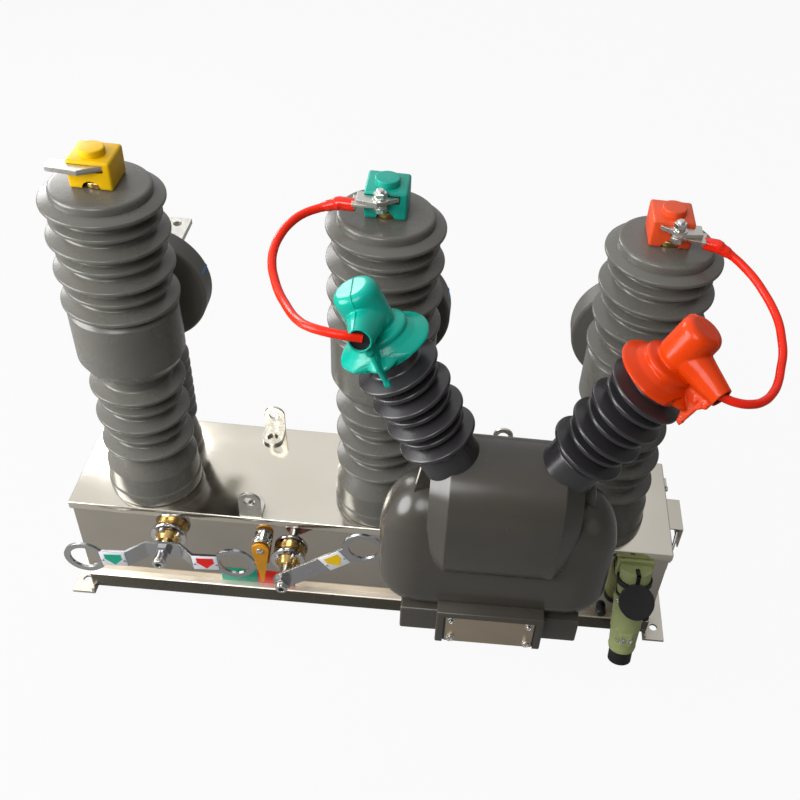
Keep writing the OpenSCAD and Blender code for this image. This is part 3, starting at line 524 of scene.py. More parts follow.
# %% The three poles
CT_Z, CT_R, ARM_R, ARM_END = 487, 83.5, 38, 97
STRIPE_TURN, STRIPE_HALF = -20, 2
pole_outline = row(
    ([(0, 0), (66.5, 0), (66.5, 18), (64.6, 21), (64, 52), (49, 80)], 3),
    sheds(45, 63.7, 93.4, 26.15, 5, 7),
    ([(45, 234), (61, 234), (70, 252), (70, 326), (59, 336)], 4),
    sheds(55, 73.6, 340.6, 23.35, 7, 7),
    ([(55, 488.1), (60, 488.1), (60, 499.1), (0, 499.1)], [2, 0, 8, 0]))
for side, x in POLE_XS.items():
    shape = lathe(bmesh.new(), pole_outline, at(x, POLE_Y, LID_TOP), turns=128)
    arm = rounded([(0, 0), (ARM_R, 0), (ARM_R, ARM_END - POLE_Y), (0, ARM_END - POLE_Y)], 3)
    lathe(shape, arm, at(x, POLE_Y, CT_Z) @ spin(-90, "X"))
    made = piece(f"pole_{side}_casting", shape, "pole_resin", stands_for=[f"pole_{side}"])
    print(made.name, len(made.data.vertices), "points")
for side in ("left", "centre"):
    place = at(POLE_XS[side], 0, CT_Z) @ spin(STRIPE_TURN, "Y")
    stripe = block(bmesh.new(), (CT_R - 0.4, 61, -STRIPE_HALF), (CT_R + 0.5, 86, STRIPE_HALF), 0.2, place, 1)
    piece(f"ring_stripe_{side}", stripe, "label_blue")

# %% [markdown]
# ## Voltage transformer
#
# Its body is cast round a coil: a long dome that is upright between two half rounds, with a raised band over
# its middle. Both are lofts along X. A section of the dome is a stadium, whose radius and crown follow the
# outline along X, so the shading is smooth without a subdivision surface. The band runs out into the dome at
# its foot, and its flanks get narrower there.

# %% The cast body
VT_X, VT_Y = 175, -224
VT_PLACE = at(VT_X, VT_Y, 206)
DOME_CROWN, DOME_LOW, DOME_SHIFT, SHOULDER_DROP = 193, 79, -1.5, 38
DOME_FLAT, DOME_END, DOME_TIP_R, DOME_SWELL = 95.5, 57, 4, 46
BAND_CROWN, BAND_LOW, BAND_ROOT, BAND_RISE = 231, 131, 49, 21
BAND_HALF, BAND_R, FLANK_WIDTH, FLANK_STEPS = 69, 70, 24, 10
BASE_X, BASE_Y, BASE_TOP = 120, 49, 44
ARC_STEPS = 28


def arc(r, z, start, end):
    """Points of an arc in the YZ plane as (y, z)."""
    angles = (math.radians(start + (end - start) * k / ARC_STEPS) for k in range(ARC_STEPS + 1))
    return [(r * math.cos(a), z + r * math.sin(a)) for a in angles]


def stadium(x, r, crown):
    """A dome section: a half round at the crown and one at the foot."""
    return [(x, y, z) for y, z in arc(r, crown, 0, 180) + arc(r, DOME_LOW, 180, 360)]


def arch(x, r):
    """A half round over the crown. Below it the front and back curve in until they meet the dome."""
    turns = [math.radians(90 * k / ARC_STEPS) for k in range(1, ARC_STEPS + 1)]
    foot = [(-max(r - BAND_RISE * (1 - math.cos(a)), min(r, BAND_ROOT - 1)),
             BAND_CROWN - (BAND_CROWN - BAND_LOW) * math.sin(a)) for a in turns]
    foot += [(-y, z) for y, z in reversed(foot)]
    return [(x, y, z) for y, z in arc(r, BAND_CROWN, 0, 180) + foot]


dome = []
for a in (math.radians(d) for d in range(180, 89, -5)):
    x, r = -DOME_FLAT + DOME_END * math.cos(a), DOME_TIP_R + DOME_SWELL * math.sin(a)
    dome.append((x, r, DOME_CROWN - SHOULDER_DROP * (1 - math.sin(a))))
dome += [(-x, r, crown) for x, r, crown in reversed(dome)]
flank = [(-BAND_HALF - FLANK_WIDTH * k / FLANK_STEPS, BAND_R - BAND_RISE * k / FLANK_STEPS)
         for k in range(FLANK_STEPS, 0, -1)]
band = [(-BAND_HALF - FLANK_WIDTH, BAND_ROOT - 5), *flank, (-BAND_HALF, BAND_R), (0, BAND_R)]
band = rounded(band, [0] * (FLANK_STEPS + 1) + [3, 0], steps=5)
band += [(-x, r) for x, r in reversed(band[:-1])]
shape = loft(bmesh.new(), [stadium(x + DOME_SHIFT, r, crown) for x, r, crown in dome], VT_PLACE)
loft(shape, [arch(x, r) for x, r in band], VT_PLACE)
block(shape, (-BASE_X, -BASE_Y, 0), (BASE_X, BASE_Y, BASE_TOP), 3, VT_PLACE)
transformer = piece("vt_casting", shape, "body_resin", stands_for=["vt_body"])
print(transformer.name, len(transformer.data.vertices), "points")

# %% [markdown]
# The terminal block at its foot is a small hood: a top and two cheeks round a recess that is open below. A
# bare metal plate closes the recess and is held by a screw at each corner. The hood is carved from a rolled
# block.

# %% Terminal block, plate and screws
HOOD_X, HOOD_FRONT, HOOD_TOP = 71, -67, 64
RECESS_X, RECESS_BACK, RECESS_TOP = 61, -62.5, 55
solid = block(bmesh.new(), (-HOOD_X, HOOD_FRONT, 0), (HOOD_X, 0, HOOD_TOP), 2.4, VT_PLACE)
recess = block(bmesh.new(), (-RECESS_X, -80, -9), (RECESS_X, RECESS_BACK, RECESS_TOP), 0, VT_PLACE)
piece("vt_hood", carve("vt_hood", solid, [recess]), "body_resin")
shape = block(bmesh.new(), (-58.5, -64.6, 1), (59.5, -62.4, 53.5), 0.6, VT_PLACE)
piece("vt_plate", shape, "plate_metal")
shape = bmesh.new()
for x, z, r in ((-51, 46.5, 3.6), (52, 46.5, 3.6), (-51, 9, 5), (52, 9, 5)):
    head = rounded([(0, 0), (r + 1.6, 0), (r + 1.6, 0.9), (r, 1.0), (r, 3.4), (r * 0.55, 4.2), (r * 0.5, 2.4),
                    (0, 2.2)], 0.5, 2)
    lathe(shape, head, VT_PLACE @ at(x, -64.5, z) @ spin(90, "X"), 24)
piece("vt_plate_screws", shape, "bright_zinc")
print("terminal block with a plate and four screws")

# %% [markdown]
# Two bushings lean outwards from the crown. Their sheds are turned like those of the poles, and a flat web on
# the outer side of each collar ties it to the dome.

# %% The two bushings
VT_APEX, VT_LEAN = (VT_X, VT_Y, 349), 26.8
BUSHINGS = {"left": (-1, 330.9), "right": (1, 321.9)}
BUSHING_FIRST, BUSHING_STEP = 199, 18.15
COLLAR_WEB, WEB_TURN, WEB_HALF = [(34, 168), (34, 112), (60, 112), (67, 126)], 105, 2.5
for side, (sign, end) in BUSHINGS.items():
    outline = row(
        ([(0, 100), (37, 100), (37, 187), (32, 191)], 3),
        sheds(29, 47.5, BUSHING_FIRST, BUSHING_STEP, 7, 7),
        ([(29, end), (0, end)], 2))
    axis = at(*VT_APEX) @ spin(sign * VT_LEAN, "Y")
    shape = lathe(bmesh.new(), outline, axis)
    made = piece(f"bushing_{side}", shape, "bushing_resin",
                 stands_for=[f"vt_bushing_{side}"])
    out = axis @ spin(90 - sign * WEB_TURN, "Z") @ spin(90, "X")
    shape = plate(bmesh.new(), COLLAR_WEB, -WEB_HALF, WEB_HALF, out)
    piece(f"bushing_{side}_ribs", shape, "body_resin")
    print(made.name, len(made.data.vertices), "points")

# %% [markdown]
# ## Boots
#
# The boots are soft mouldings whose cap, spout and flap flow into each other. A voxel remesh of the CAD
# solid fuses its parts into one skin, and a few rounds of smoothing take off the steps. Plain smoothing would
# shrink a rim, so each round is followed by a push back that is a little stronger. A fine rib follows the
# parting plane of the mould over the cap and along the spout, and a black disc deep in the spout's mouth is
# painted shade.

# %% Fuse and smooth
BOOT_VOXEL, BOOT_ROUNDS = 0.0010, 9
BOOT_CAP_R, BOOT_TOP, BOOT_ROUND, SPOUT_AT = 23.5, 85, 9, 52
SPOUT_ROOT_R, SPOUT_MOUTH_R, SPOUT_BORE_R = 22, 12.5, 10.5
BULGE, BULGE_FROM, BULGE_RUN, STRETCH, STRETCH_FROM = 0.07, 34, 20, 0.2, 60
FLAP_FROM, FLAP_TOP, FLAP_HALF, RIVET_PRESS = 36, 36, 2.25, 0.5


def even_out(points, edges, rounds):
    """Moves each point towards the mean of its neighbours, then back by a little more."""
    count = np.bincount(edges.ravel(), minlength=len(points))
    near, far = np.concatenate([edges, edges[:, ::-1]]).T
    for step in [0.5, -0.52] * rounds:
        mean = np.stack([np.bincount(near, points[far, k], len(points)) / count for k in range(3)], axis=1)
        points = points + step * (mean - points)
    return points


def settle(points):
    """Soft rubber bulges: away from the spout the boot is wider, its cap longer and its rivets flatter."""
    x, y, z = points.T
    wider = 1 + BULGE * np.clip((BULGE_FROM - x) / BULGE_RUN, 0, 1)
    proud = np.maximum(np.abs(y) - FLAP_HALF, 0) * ((x > FLAP_FROM) & (z < FLAP_TOP))
    flatter = y * wider - RIVET_PRESS * np.sign(y) * proud
    return np.stack([x * wider, flatter, z + STRETCH * np.maximum(z - STRETCH_FROM, 0)], axis=1)


def soft_boot(name, node, place, material):
    """A fused copy of a CAD boot with its steps smoothed off. Place is the boot's frame in millimetres."""
    source = add(name + "_source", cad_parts[node].data.copy())
    fuse = source.modifiers.new("fuse", "REMESH")
    fuse.mode, fuse.voxel_size = "VOXEL", BOOT_VOXEL
    bpy.context.view_layer.update()
    mesh = bpy.data.meshes.new_from_object(source.evaluated_get(bpy.context.evaluated_depsgraph_get()))
    bpy.data.objects.remove(source)
    points = np.array([v.co for v in mesh.vertices])
    edges = np.array([e.vertices[:] for e in mesh.edges])
    points = even_out(points, edges, BOOT_ROUNDS)
    there, back = np.array(place.inverted()), np.array(place)
    local = settle(points / MM @ there[:3, :3].T + there[:3, 3])
    points = (local @ back[:3, :3].T + back[:3, 3]) * MM
    mesh.vertices.foreach_set("co", points.astype(np.float32).ravel())
    shape = bmesh.new()
    shape.from_mesh(mesh)
    return piece(name, shape, material, stands_for=[node], crease=80)


def seam_path(lift, spout):
    """The parting line in the boot's XZ plane: up the cap's back, over its top and out along the spout."""
    inner, bend = BOOT_CAP_R - BOOT_ROUND, [math.radians(a) for a in range(0, 91, 15)]
    over = [(-inner - BOOT_ROUND * math.cos(a), 0, BOOT_TOP - BOOT_ROUND * (1 - math.sin(a))) for a in bend]
    down = [(-x, 0, z) for x, _, z in reversed(over)]
    lift = math.radians(lift)
    along, up = Vector((math.cos(lift), 0, math.sin(lift))), Vector((-math.sin(lift), 0, math.cos(lift)))
    taper = (SPOUT_MOUTH_R - SPOUT_ROOT_R) / spout
    out = [Vector((0, 0, SPOUT_AT)) + along * s + up * (SPOUT_ROOT_R + taper * s)
           for s in (23, 0.5 * spout, 0.75 * spout, spout - 1)]
    return [(-BOOT_CAP_R, 0, 46), *over, *down, *out]


# %% The two boots with rib and a painted shade disc in the mouth
BOOTS = {"left": (273, 8, 58, "boot_green", "green_rubber"),
         "right": (-48, 0, 66, "boot_orange", "red_rubber")}
for side, (turn, lift, spout, material, slot) in BOOTS.items():
    sign, height = BUSHINGS[side]
    place = at(*VT_APEX) @ spin(sign * VT_LEAN, "Y") @ at(0, 0, height) @ spin(turn, "Z")
    made = soft_boot(f"boot_{side}_moulding", f"boot_{side}", place, material)
    line = [tuple(p) for p in settle(np.array([tuple(p) for p in seam_path(lift, spout)]))]
    piece(f"boot_{side}_rib", tube(bmesh.new(), line, 0.75, place, 8), material)
    bore = SPOUT_BORE_R - 0.1
    # A black disc deep in the spout's bore stands for the shade inside the mouth: painted shade.
    mouth_painted_shade = rounded([(0, spout - 4.4), (bore, spout - 4.4), (bore, spout - 1.5), (bore - 0.5, spout - 1.5),
                     (bore - 0.7, spout - 4), (0, spout - 4)], 0.2, 2)
    place = place @ at(0, 0, SPOUT_AT) @ spin(90 - lift, "Y")
    piece(f"boot_{side}_mouth", lathe(bmesh.new(), mouth_painted_shade, place, 48), "black_plastic")
    print(made.name, len(made.data.vertices), "points")

# %% [markdown]
# ## Terminal covers
#
# Each pole has a square cap of coloured rubber over its terminal. It is hollow, with a slot for the palm
# and an arch on each side, so it is carved: a block with rolled edges, minus the inside, the slot and the
# arch. A turned boss with a soft rim closes the top.

# %% Three covers
POLE_TOP, PALM_LIFT = 699.1, 26
COVER_HALF, COVER_HEIGHT, COVER_WALL = 25.5, 36, 3
COVER_SHIFT = {"left": -3.5, "centre": 0, "right": 0}
COVERS = {"left": (-1, "yellow_rubber"), "centre": (-1, "green_rubber"), "right": (1, "red_rubber")}
for side, (sign, material) in COVERS.items():
    place = at(POLE_XS[side] + COVER_SHIFT[side], POLE_Y + 7, POLE_TOP) @ Matrix.Diagonal((-sign, 1, 1, 1))
    outer, inner = COVER_HALF, COVER_HALF - COVER_WALL
    solid = block(bmesh.new(), (-outer, -outer, 0), (outer, outer, COVER_HEIGHT), 3.2, place)
    inside = block(bmesh.new(), (-inner, -inner, -5), (inner, inner, COVER_HEIGHT - COVER_WALL), 2, place)
    slot_cut = block(bmesh.new(), (-outer - 1, -outer - 1, PALM_LIFT - 4), (17, -1, PALM_LIFT + 6), 0, place)
    arch_cut = lathe(bmesh.new(), [(0, -30), (11, -30), (11, 30), (0, 30)], place @ spin(-90, "X"), 48)
    shape = carve(f"cover_{side}", solid, [inside, slot_cut, arch_cut])
    boss = rounded([(0, -2), (15, -2), (15, 9), (0, 9)], 2)
    lathe(shape, boss, place @ at(0, -4, COVER_HEIGHT), 64)
    made = piece(f"cover_{side}", shape, material, stands_for=[f"terminal_cover_{side}"])
    ring = rounded([(14.2, 0), (17.5, 0), (17.5, 7), (14.2, 10)], 1.5)
    piece(f"terminal_ring_{side}", lathe(bmesh.new(), ring, at(POLE_XS[side], POLE_Y, POLE_TOP), 48), "brass")
    print(made.name, len(made.data.polygons), "faces")

# %% [markdown]
# ## Sheet metal of the box
#
# The lid and the base tray are folded from sheet, so their edges are bent over a small radius and catch a
# bright line. Rolled blocks show that. The plain walls between them stay as the CAD gives them.

# %% Lid and tray
lid_low, lid_high = (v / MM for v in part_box("lid"))
shell_low, shell_high = (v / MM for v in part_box("box_shell"))
tray_low, tray_high = (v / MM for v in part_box("base_tray"))
FOLD_RADIUS, LIP_GAP = 2.2, Vector((1.2, 1.2, 0))
cavity_low = shell_low - LIP_GAP
cavity_high = shell_high + LIP_GAP
solid = block(bmesh.new(), lid_low, lid_high, FOLD_RADIUS)
shape = carve("lid", solid, [block(bmesh.new(), cavity_low, cavity_high)])
piece("lid_sheet", shape, "lid_steel", stands_for=["lid"])
shape = block(bmesh.new(), tray_low, tray_high, 3.0)
tray = piece("tray_sheet", shape, "ledge_steel_painted_shade", stands_for=["base_tray"])
# Faces that look up take the light copy of the tray's steel and the rest the dark copy: painted light and
# painted shade.
tray.data.materials.append(looks["ledge_top_steel_painted_light"])
for face in tray.data.polygons:
    face.material_index = int(face.normal.z > 0.4)
print("lid", [round(v, 1) for v in lid_high - lid_low], "mm")

# %% [markdown]
# ## Feet and bracket
#
# Each foot is one strip folded twice, so its section is drawn once and run along the box. Two holes for the
# ground bolts go through the flange, and the inner lap ends under the tray. The bracket under the transformer
# is two angle arms whose webs taper towards the front.

# %% Folded feet
FOOT_HALF, LAP_HALF, TRAY_EDGE = 113, 100, 446
FOOT_HOLE_R, FOOT_HOLE_X, FOOT_HOLE_Y = 6.5, 15.5, 88
foot_section = [(31, 0), (31, 4), (0, 4), (0, 13), (-40, 13), (-40, 9), (-4, 9), (-4, 0)]
for side, sign in (("left", -1), ("right", 1)):
    place = Matrix.Diagonal((sign, 1, 1, 1)) @ at(TRAY_EDGE, 0, 0)
    solid = loft(bmesh.new(), [[(x, y, z) for x, z in foot_section] for y in (-FOOT_HALF, FOOT_HALF)], place)
    drill = [(0, -3), (FOOT_HOLE_R, -3), (FOOT_HOLE_R, 8), (0, 8)]
    cutters = [lathe(bmesh.new(), drill, place @ at(FOOT_HOLE_X, y, 0), 40)
               for y in (-FOOT_HOLE_Y, FOOT_HOLE_Y)]
    cutters += [block(bmesh.new(), (-45, y, 5), (-4, y + 20, 15), 0, place)
                for y in (-LAP_HALF - 20, LAP_HALF)]
    piece(f"foot_{side}_strip", carve(f"foot_{side}", solid, cutters), "foot_steel",
          stands_for=[f"foot_{side}"])
print("feet:", 2 * FOOT_HALF, "mm long")

# %% Bracket arms
ARM_OFFSET, ARM_PLATE, ARM_WIDTH, ARM_FRONT, ARM_BACK, WEB_BACK = 65, 6, 40, -262, 36, -103
shape = bmesh.new()
for sign in (-1, 1):
    place = at(VT_X + sign * ARM_OFFSET, 0, LID_TOP) @ Matrix.Diagonal((sign, 1, 1, 1))
    block(shape, (-ARM_WIDTH / 2, ARM_FRONT, 0), (ARM_WIDTH / 2, ARM_BACK, ARM_PLATE), 0.8, place)
    web = [(WEB_BACK, 0.5), (WEB_BACK, -33), (WEB_BACK - 30, -33), (ARM_FRONT + 8, -1), (ARM_FRONT + 8, 0.5)]
    loft(shape, [[(x, y, z) for y, z in web] for x in (ARM_WIDTH / 2 - ARM_PLATE, ARM_WIDTH / 2)], place)
piece("vt_bracket_arms", shape, "foot_steel", stands_for=["vt_bracket"])
print("bracket arms:", ARM_BACK - ARM_FRONT, "mm long")

# %% [markdown]
# ## Terminals
#
# The left palm is bare. On the other two a bolt holds the cable lug under the palm: head, lug, palm, flat and
# spring washer, nut, and the end of the thread. A red sleeve is shrunk over each lug's barrel and the start
# of the lead. It is swept along the lead's own curve, and it steps down where it leaves the barrel.

# %% Left palm
place = at(POLE_XS["left"] + COVER_SHIFT["left"], POLE_Y, POLE_TOP)
palm = rounded([(0, 8), (-16, 8), (-16, -12), (-46, -12), (-46, -29), (-8, -33), (16, -17), (16, 8),
                (0, 8)], 2, 3)
levels = ((0.985, 25), (1, 25.6), (1, 31), (0.985, 31.6))
shape = lathe(bmesh.new(), [(0, 0), (14, 0), (14, PALM_LIFT + 1), (0, PALM_LIFT + 1)], place, 48)
loft(shape, [[(x * s, y * s, z) for x, y in palm] for s, z in levels], place)
piece("palm_left", shape, "tinned_metal", stands_for=["top_terminal_left"])

# %% Terminal bolts
PALM_TOP, LUG_UNDER = 730.1, 721.8
BOLT_XS, BOLT_Y = {"centre": -5, "right": 345}, -55
for side, x in BOLT_XS.items():
    place = at(x, BOLT_Y, 0)
    shape = bmesh.new()
    for r, low, high in ((10, PALM_TOP, PALM_TOP + 1.5), (7.2, PALM_TOP + 1.5, PALM_TOP + 3.6),
                         (9, LUG_UNDER - 1.6, LUG_UNDER)):
        lathe(shape, rounded([(4.2, low), (r, low), (r, high), (4.2, high)], 0.4, 2), place, 40)
    hexagon(shape, 7, PALM_TOP + 3.6, PALM_TOP + 10, place)
    hexagon(shape, 7, LUG_UNDER - 8, LUG_UNDER - 1.6, place)
    thread = [(0, PALM_TOP - 9)]
    for k in range(16):
        thread += [(4.6, PALM_TOP - 2.6 + k), (4.0, PALM_TOP - 2.1 + k)]
    lathe(shape, thread + [(3.2, PALM_TOP + 13.4), (0, PALM_TOP + 13.4)], place, 32)
    piece(f"terminal_bolt_{side}", shape, "bright_zinc")
print("terminal bolts: 2")

# %% Sleeves on the lugs
SLEEVE_START = {"left": [(-35.5, -52, 717.8), (-46, -52, 717.8)],
                "right": [(376.4, -58.6, 717.8), (387.6, -61, 717.8)]}
SLEEVE_RADII = [7.7, 8.0, 8.0, 8.0, 7.9, 7.2, 6.7, 6.6, 6.6, 6.6, 6.5, 5.9, 5.4, 5.3, 5.15]
bpy.context.view_layer.update()
for side, made in (("left", lead_left), ("right", lead_right)):
    first, second = made.data.splines[0].bezier_points[:2]
    run = interpolate_bezier(first.co, first.handle_right, second.handle_left, second.co, 13)
    path = SLEEVE_START[side] + [tuple(p / MM) for p in run]
    shape = tube(bmesh.new(), path, SLEEVE_RADII, sides=28)
    piece(f"sleeve_{side}", shape, "sleeve_red", crease=60)

# %% [markdown]
# ## Front controls
#
# The levers keep their CAD shape. They carry white plates with a coloured arrow, each held by two small
# rivets, and a collar on each shaft whose drilled end is a shallow recess with a black disc in it, painted
# shade.
# These ride on the lever, so they turn with it. The brass bushings get a bright ring and four cap screws, and
# two plain colour plates lie on the wall behind the levers.

# %% Arrow plates
CHARGE, TRIP, DIAL = front(-307, 155, 4), front(-130, 122, 37), front(-170, 147)
ARROW = [(-12.5, 10.5), (12.5, 10.5), (12.5, 1), (15.5, 3), (0, -12), (-15.5, 3), (-12.5, 1)]
SIGNS = [("charge_left", CHARGE @ at(-67.5, 0, 62), "label_green", "charging_handle", "green_rubber"),
         ("charge_right", CHARGE @ at(67.5, 0, 62), "label_red", "charging_handle", "red_rubber"),
         ("trip", TRIP @ at(98, 0, 54), "label_yellow", "trip_handle", "yellow_rubber")]
SIGN_LOW, SIGN_HIGH = (-19, -14.6, -0.2), (18, 14.6, 0.7)
RIVET, RIVET_XS, RIVET_Y = [(1.9, 0.6), (1.8, 1.3), (1.1, 1.9), (0, 2.1)], (-16.2, 15.6), -2.5
for name, place, material, body, slot in SIGNS:
    shape = block(bmesh.new(), SIGN_LOW, SIGN_HIGH, 0.4, place, 2)
    piece(f"{name}_sign", shape, "label_white", body)
    shape = plate(bmesh.new(), ARROW, 0.6, 1.0, place)
    piece(f"{name}_arrow", shape, material, body)
    shape = bmesh.new()
    for x in RIVET_XS:
        lathe(shape, RIVET, place @ at(x, RIVET_Y, 0), 20)
    piece(f"{name}_rivets", shape, "lever_steel", body)
print("arrow plates:", len(SIGNS))

# %% Shaft ends, bushing rings and screws
collar = rounded([(8.0, 62.5), (9.8, 62.5), (9.8, 66.4), (8.7, 67), (8.7, 69.6), (7.6, 70.6), (4.6, 70.6),
                  (4.2, 70.05), (0, 70.05)], 0.4, 2)
# A black disc on the collar's end stands for the dark of the drilled hole: painted shade.
hole_painted_shade = [(4.25, 70.06), (4.1, 70.3), (0, 70.12)]
ring = rounded([(20.5, 6.3), (21.8, 6.3), (21.8, 9.2), (25.7, 9.6), (26, 12.5), (25.7, 15.4), (19.5, 16.6),
                (19, 15)], 0.6, 3)
cap = rounded([(3.6, 14), (3.6, 20.4), (1.9, 20.8), (1.8, 18.6), (0, 18.6)], 0.4, 2)
for name, place, body in (("charge", CHARGE, "charging_handle"), ("trip", TRIP, "trip_handle")):
    shape = lathe(bmesh.new(), collar, place, 40)
    piece(f"{name}_shaft_collar", shape, "bright_zinc", body)
    shape = lathe(bmesh.new(), hole_painted_shade, place, 32)
    piece(f"{name}_shaft_hole", shape, "black_plastic", body)
    shape = lathe(bmesh.new(), ring, place, 72)
    piece(f"{name}_bushing_ring", shape, "chrome")
    shape = bmesh.new()
    for turn in (20, 110, 200, 290):
        lathe(shape, cap, place @ spin(turn, "Z") @ at(17.5, 0, 0), 24)
    piece(f"{name}_bushing_screws", shape, "bright_zinc")
screw = rounded([(5.6, 20), (5.6, 22.6), (3.2, 24.2), (1.6, 24.4), (1.4, 23.2), (0, 23.1)], 0.6, 3)
shape = lathe(bmesh.new(), screw, DIAL, 36)
piece("pointer_screw", shape, "bright_zinc", "state_pointer")
print("bushing rings: 2, cap screws: 8")

# %% Colour plates on the wall
PLATE_LOW, PLATE_HIGH = 43.5, 73
for name, low, high, material, slot in (("closed", -240, -183.2, "label_green", "green_rubber"),
                                        ("open", -182.8, -125, "label_red", "red_rubber")):
    shape = block(bmesh.new(), (low, FRONT_Y - 0.9, PLATE_LOW), (high, FRONT_Y + 0.2, PLATE_HIGH), 0.3,
                  steps=2)
    piece(f"{name}_plate", shape, material)
print("colour plates: 2")

# %% [markdown]
# ## Plug and right wall
#
# The control plug is a painted casting: a seal under the socket, a strap over it, two cap screws on its
# shoulder, a saddle with two screws that grips the cable, and a rim at its end. A black knob sits on each
# side of it. The right wall carries a link and two small clips.

# %% Plug details
PLUG = at(399, -112, 166) @ spin(-17, "X") @ Matrix.Diagonal((1, 1, -1, 1))
SHELL_TOP_R, SHELL_TOP, SHELL_TAPER = 27, 34, 6.5 / 104
STRAP_HALF, STRAP_FRONT, STRAP_TOP = 3.2, -27, -14.6


def on_shell(turn, z):
    """A place on the plug's tapered shell, with Z out of its surface. Turn 0 faces the front."""
    r = SHELL_TOP_R - SHELL_TAPER * (z - SHELL_TOP)
    return PLUG @ at(0, 0, z) @ spin(turn - 90, "Z") @ at(r, 0, 0) @ spin(90, "Y")


seal = rounded([(20, 29.6), (25.4, 29.6), (25.4, 34.2), (20, 34.2)], 1.2, 3)
shape = lathe(bmesh.new(), seal, PLUG, 64)
for back, end in ((-23.4, 36), (-7, -11.4)):
    block(shape, (-STRAP_HALF, STRAP_FRONT, STRAP_TOP), (STRAP_HALF, back, end), 1, PLUG)
piece("plug_seal", shape, "black_plastic")
rims = bmesh.new()
for z, r in ((44, 27.2), (96, 24), (132, 21.7)):
    rim = rounded([(r - 2.5, z - 1.6), (r, z - 1.2), (r, z + 1.2), (r - 2.5, z + 1.6)], 0.5, 2)
    lathe(rims, rim, PLUG, 64)
saddle = on_shell(0, 108)
block(rims, (-12, -9, -3), (12, 9, 2.2), 1.4, saddle)
piece("plug_rims", rims, "olive_paint")
shape = bmesh.new()
head = rounded([(4.2, -3), (4.2, 2.4), (2.2, 3), (2, 1.2), (0, 1.2)], 0.5, 2)
for place in (on_shell(-52, 40), on_shell(38, 40), saddle @ at(0, 6, 1.4), saddle @ at(0, -6, 1.4)):
    lathe(shape, head, place, 24)
tube(shape, [(-12, 6, 0), (-13, 2, 3.5), (-12, -5, 3.5), (-6, -9, 2.5)], 0.9, on_shell(-20, 100), 8)
piece("plug_screws", shape, "bright_zinc")
shape = bmesh.new()
knob = rounded([(0, 0), (7.5, 0), (7.5, 9), (6, 12), (0, 12)], 1.5, 3)
for x, z in ((366, 52), (437, 48)):
    lathe(shape, knob, front(x, z), 32)
piece("plug_knobs", shape, "black_plastic")
print("plug details: seal and strap, rims, screws, knobs")

# %% Link and clips on the right wall
WALL_X = 448
shape = block(bmesh.new(), (WALL_X - 1, -86, 150), (WALL_X + 4, -62, 176), 1)
block(shape, (WALL_X - 1, 62, 150), (WALL_X + 12, 82, 184), 1.5)
LINK = [(22, -24, 176), (16, -46, 172), (9, -66, 166), (4, -74, 163)]
tube(shape, LINK, 2.6, at(WALL_X, 0, 0))
hexagon(shape, 5, 0, 9, at(WALL_X, -74, 163) @ spin(90, "Y"))
hexagon(shape, 4, 0, 6, at(WALL_X + 11, 72, 168) @ spin(90, "Y"))
piece("wall_link", shape, "bright_zinc")
print("link and clips on the right wall")

# %% [markdown]
# ## Finishes on the CAD nodes
#
# The pieces whose CAD shape is already right keep it, and only get a finish. Where the shape has sharp
# edges, the finish holds a small Bevel node that rounds them in the shading.

# %% One finish per node
NODE_FINISHES = {
    "foot_steel": ["side_hood"],
    # The box shell takes the darker copy of the lid's steel, which is painted shade.
    "wall_steel_painted_shade": ["box_shell"],
    "tinned_metal": ["lifting_lugs", "cable_lug_centre", "cable_lug_right"]
                  + [f"rear_terminal_{s}" for s in POLE_XS] + ["top_terminal_centre", "top_terminal_right"],
    "ring_resin": [f"current_transformer_{s}" for s in POLE_XS],
    "pole_resin": [f"lead_column_{s}" for s in POLE_XS],
    "brass": ["charge_bushing", "trip_bushing"],
    "chrome": ["pointer_bezel"],
    "lever_steel": ["charge_lever", "trip_lever"],
    "orange_paint": ["pointer"],
    "olive_paint": ["plug_socket", "plug_shell"],
    "black_plastic": ["plug_clamp", "plug_cap"],
}
for material, nodes in NODE_FINISHES.items():
    for node in nodes:
        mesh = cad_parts[node].data
        mesh.materials.clear()
        mesh.materials.append(looks[material])
print("nodes with a finish:", sum(len(nodes) for nodes in NODE_FINISHES.values()))

# %% [markdown]
# ## Cords
#
# Both ends are fixed to the object.

# %% [markdown]
# ## Studio
#
# A floor and four soft lamps. The floor and the world show white to the camera, and in part to reflections,
# through Light Path, while the light that falls on the object stays at a plain level. The world fades from a
# bright upper left to a dim right, as a room with one row of windows does, and that gives the glossy resin
# its bright left flank and its dark right one. The floor itself is grey, so little light bounces back up.


# %% White for the camera
def studio_white(tree, plain, seen_share, mirrored_share):
    """Mixes white into a plain shader: one share for camera rays, one for mirrored or passing rays."""
    rays = tree.nodes.new("ShaderNodeLightPath").outputs
    share = calc(tree, "MULTIPLY", rays["Is Camera Ray"], seen_share)
    for name in ("Is Glossy Ray", "Is Transmission Ray"):
        share = calc(tree, "MAXIMUM", share, calc(tree, "MULTIPLY", rays[name], mirrored_share))
    kind = "ShaderNodeBackground" if tree.nodes.get("Background") else "ShaderNodeEmission"
    white = fill(tree.nodes.new(kind), Color=WHITE)
    both = tree.nodes.new("ShaderNodeMixShader")
    tree.links.new(share, both.inputs["Fac"])
    tree.links.new(plain, both.inputs[1])
    tree.links.new(white.outputs[0], both.inputs[2])
    return both.outputs["Shader"]


print("white for the camera ready")

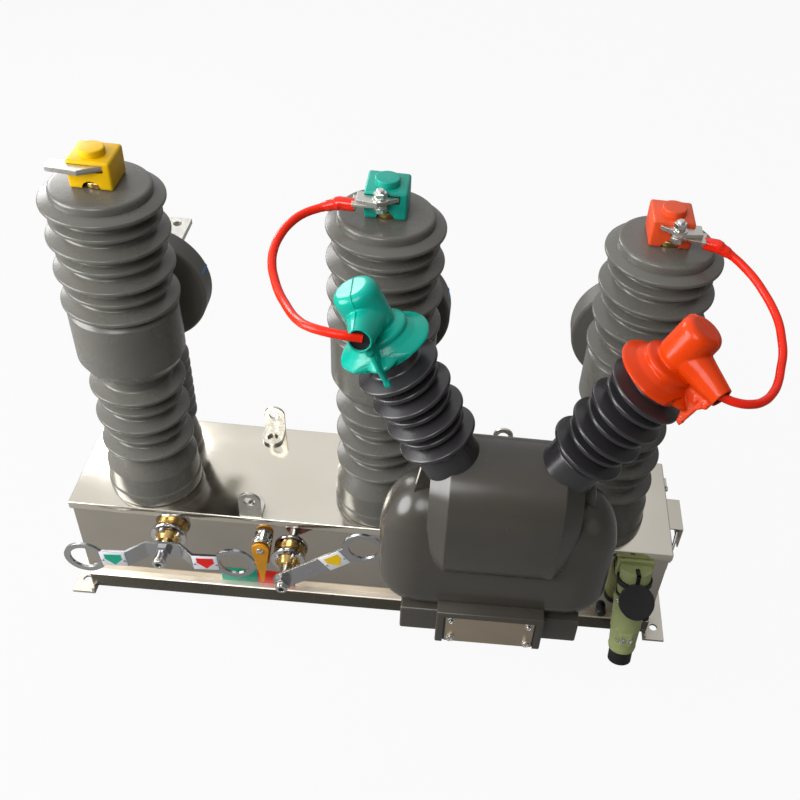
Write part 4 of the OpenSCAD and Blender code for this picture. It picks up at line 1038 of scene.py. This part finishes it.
# %% World
WINDOW_SIDE, SKY_STRENGTH = (-0.60, 0.45, 0.66), 0.95
SKY_FADE = ((0.42, (0.05, 0.047, 0.045, 1)), (0.92, (0.97, 0.98, 1.0, 1)))
SKY_SEEN, SKY_MIRRORED = 1.0, 0.12
world = bpy.data.worlds.new("studio")
bpy.context.scene.world = world
world.use_nodes = True
sky_tree = world.node_tree
sky = fill(sky_tree.nodes["Background"], Strength=SKY_STRENGTH)
direction = sky_tree.nodes.new("ShaderNodeTexCoord")
towards_window = sky_tree.nodes.new("ShaderNodeVectorMath")
towards_window.operation = "DOT_PRODUCT"
towards_window.inputs[1].default_value = WINDOW_SIDE
sky_tree.links.new(direction.outputs["Generated"], towards_window.inputs[0])
fade = sky_tree.nodes.new("ShaderNodeValToRGB")
for stop, (position, tint) in zip(fade.color_ramp.elements, SKY_FADE):
    stop.position, stop.color = position, tint
sky_tree.links.new(spread(sky_tree, towards_window.outputs["Value"], -1.0, 1.0), fade.inputs["Fac"])
sky_tree.links.new(fade.outputs["Color"], sky.inputs["Color"])
sky_tree.links.new(studio_white(sky_tree, sky.outputs[0], SKY_SEEN, SKY_MIRRORED),
                   sky_tree.nodes["World Output"].inputs["Surface"])
print("world:", world.name, "at", SKY_STRENGTH)

# %% Floor
FLOOR_SIZE, FLOOR_GREY, FLOOR_ROUGH = 6.0, (0.22, 0.22, 0.215, 1), 0.9
FLOOR_SEEN, FLOOR_MIRRORED = 0.94, 0.06
floor_shape = bmesh.new()
bmesh.ops.create_grid(floor_shape, x_segments=1, y_segments=1, size=FLOOR_SIZE)
floor_mesh = bpy.data.meshes.new("floor")
floor_shape.to_mesh(floor_mesh)
floor = add("floor", floor_mesh)
floor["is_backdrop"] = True
paper = bpy.data.materials.new("paper")
paper.use_nodes = True
base = fill(paper.node_tree.nodes["Principled BSDF"], Base_Color=FLOOR_GREY, Roughness=FLOOR_ROUGH)
paper.node_tree.links.new(studio_white(paper.node_tree, base.outputs[0], FLOOR_SEEN, FLOOR_MIRRORED),
                          paper.node_tree.nodes["Material Output"].inputs["Surface"])
floor_mesh.materials.append(paper)
print("floor:", floor.name)


# %% Lamps
def lamp(name, place, aim, size, watts):
    """A round area lamp that faces a point."""
    data = bpy.data.lights.new(name, "AREA")
    data.shape, data.size, data.energy = "DISK", size, watts
    made = add(name, data)
    made.location = place
    made.rotation_euler = (Vector(aim) - Vector(place)).to_track_quat("-Z", "Y").to_euler()


OBJECT_MIDDLE = (0.0, -0.1, 0.4)
LAMPS = {"key": ((-1.65, -0.6, 1.0), 1.3, 44), "front": ((-0.55, -1.6, 2.1), 1.2, 25),
         "fill": ((1.9, -1.5, 1.2), 1.6, 2), "window": ((-1.45, 1.5, 1.15), 1.0, 18)}
for name, (place, size, watts) in LAMPS.items():
    lamp(name, place, OBJECT_MIDDLE, size, watts)
bpy.context.scene.view_settings.view_transform = "Standard"

# %% [markdown]
# ## Size
#
# The size of the dressed model is printed.

# %% Size of the dressed model
low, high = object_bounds()
print("visual size:", [round(v, 3) for v in high - low])
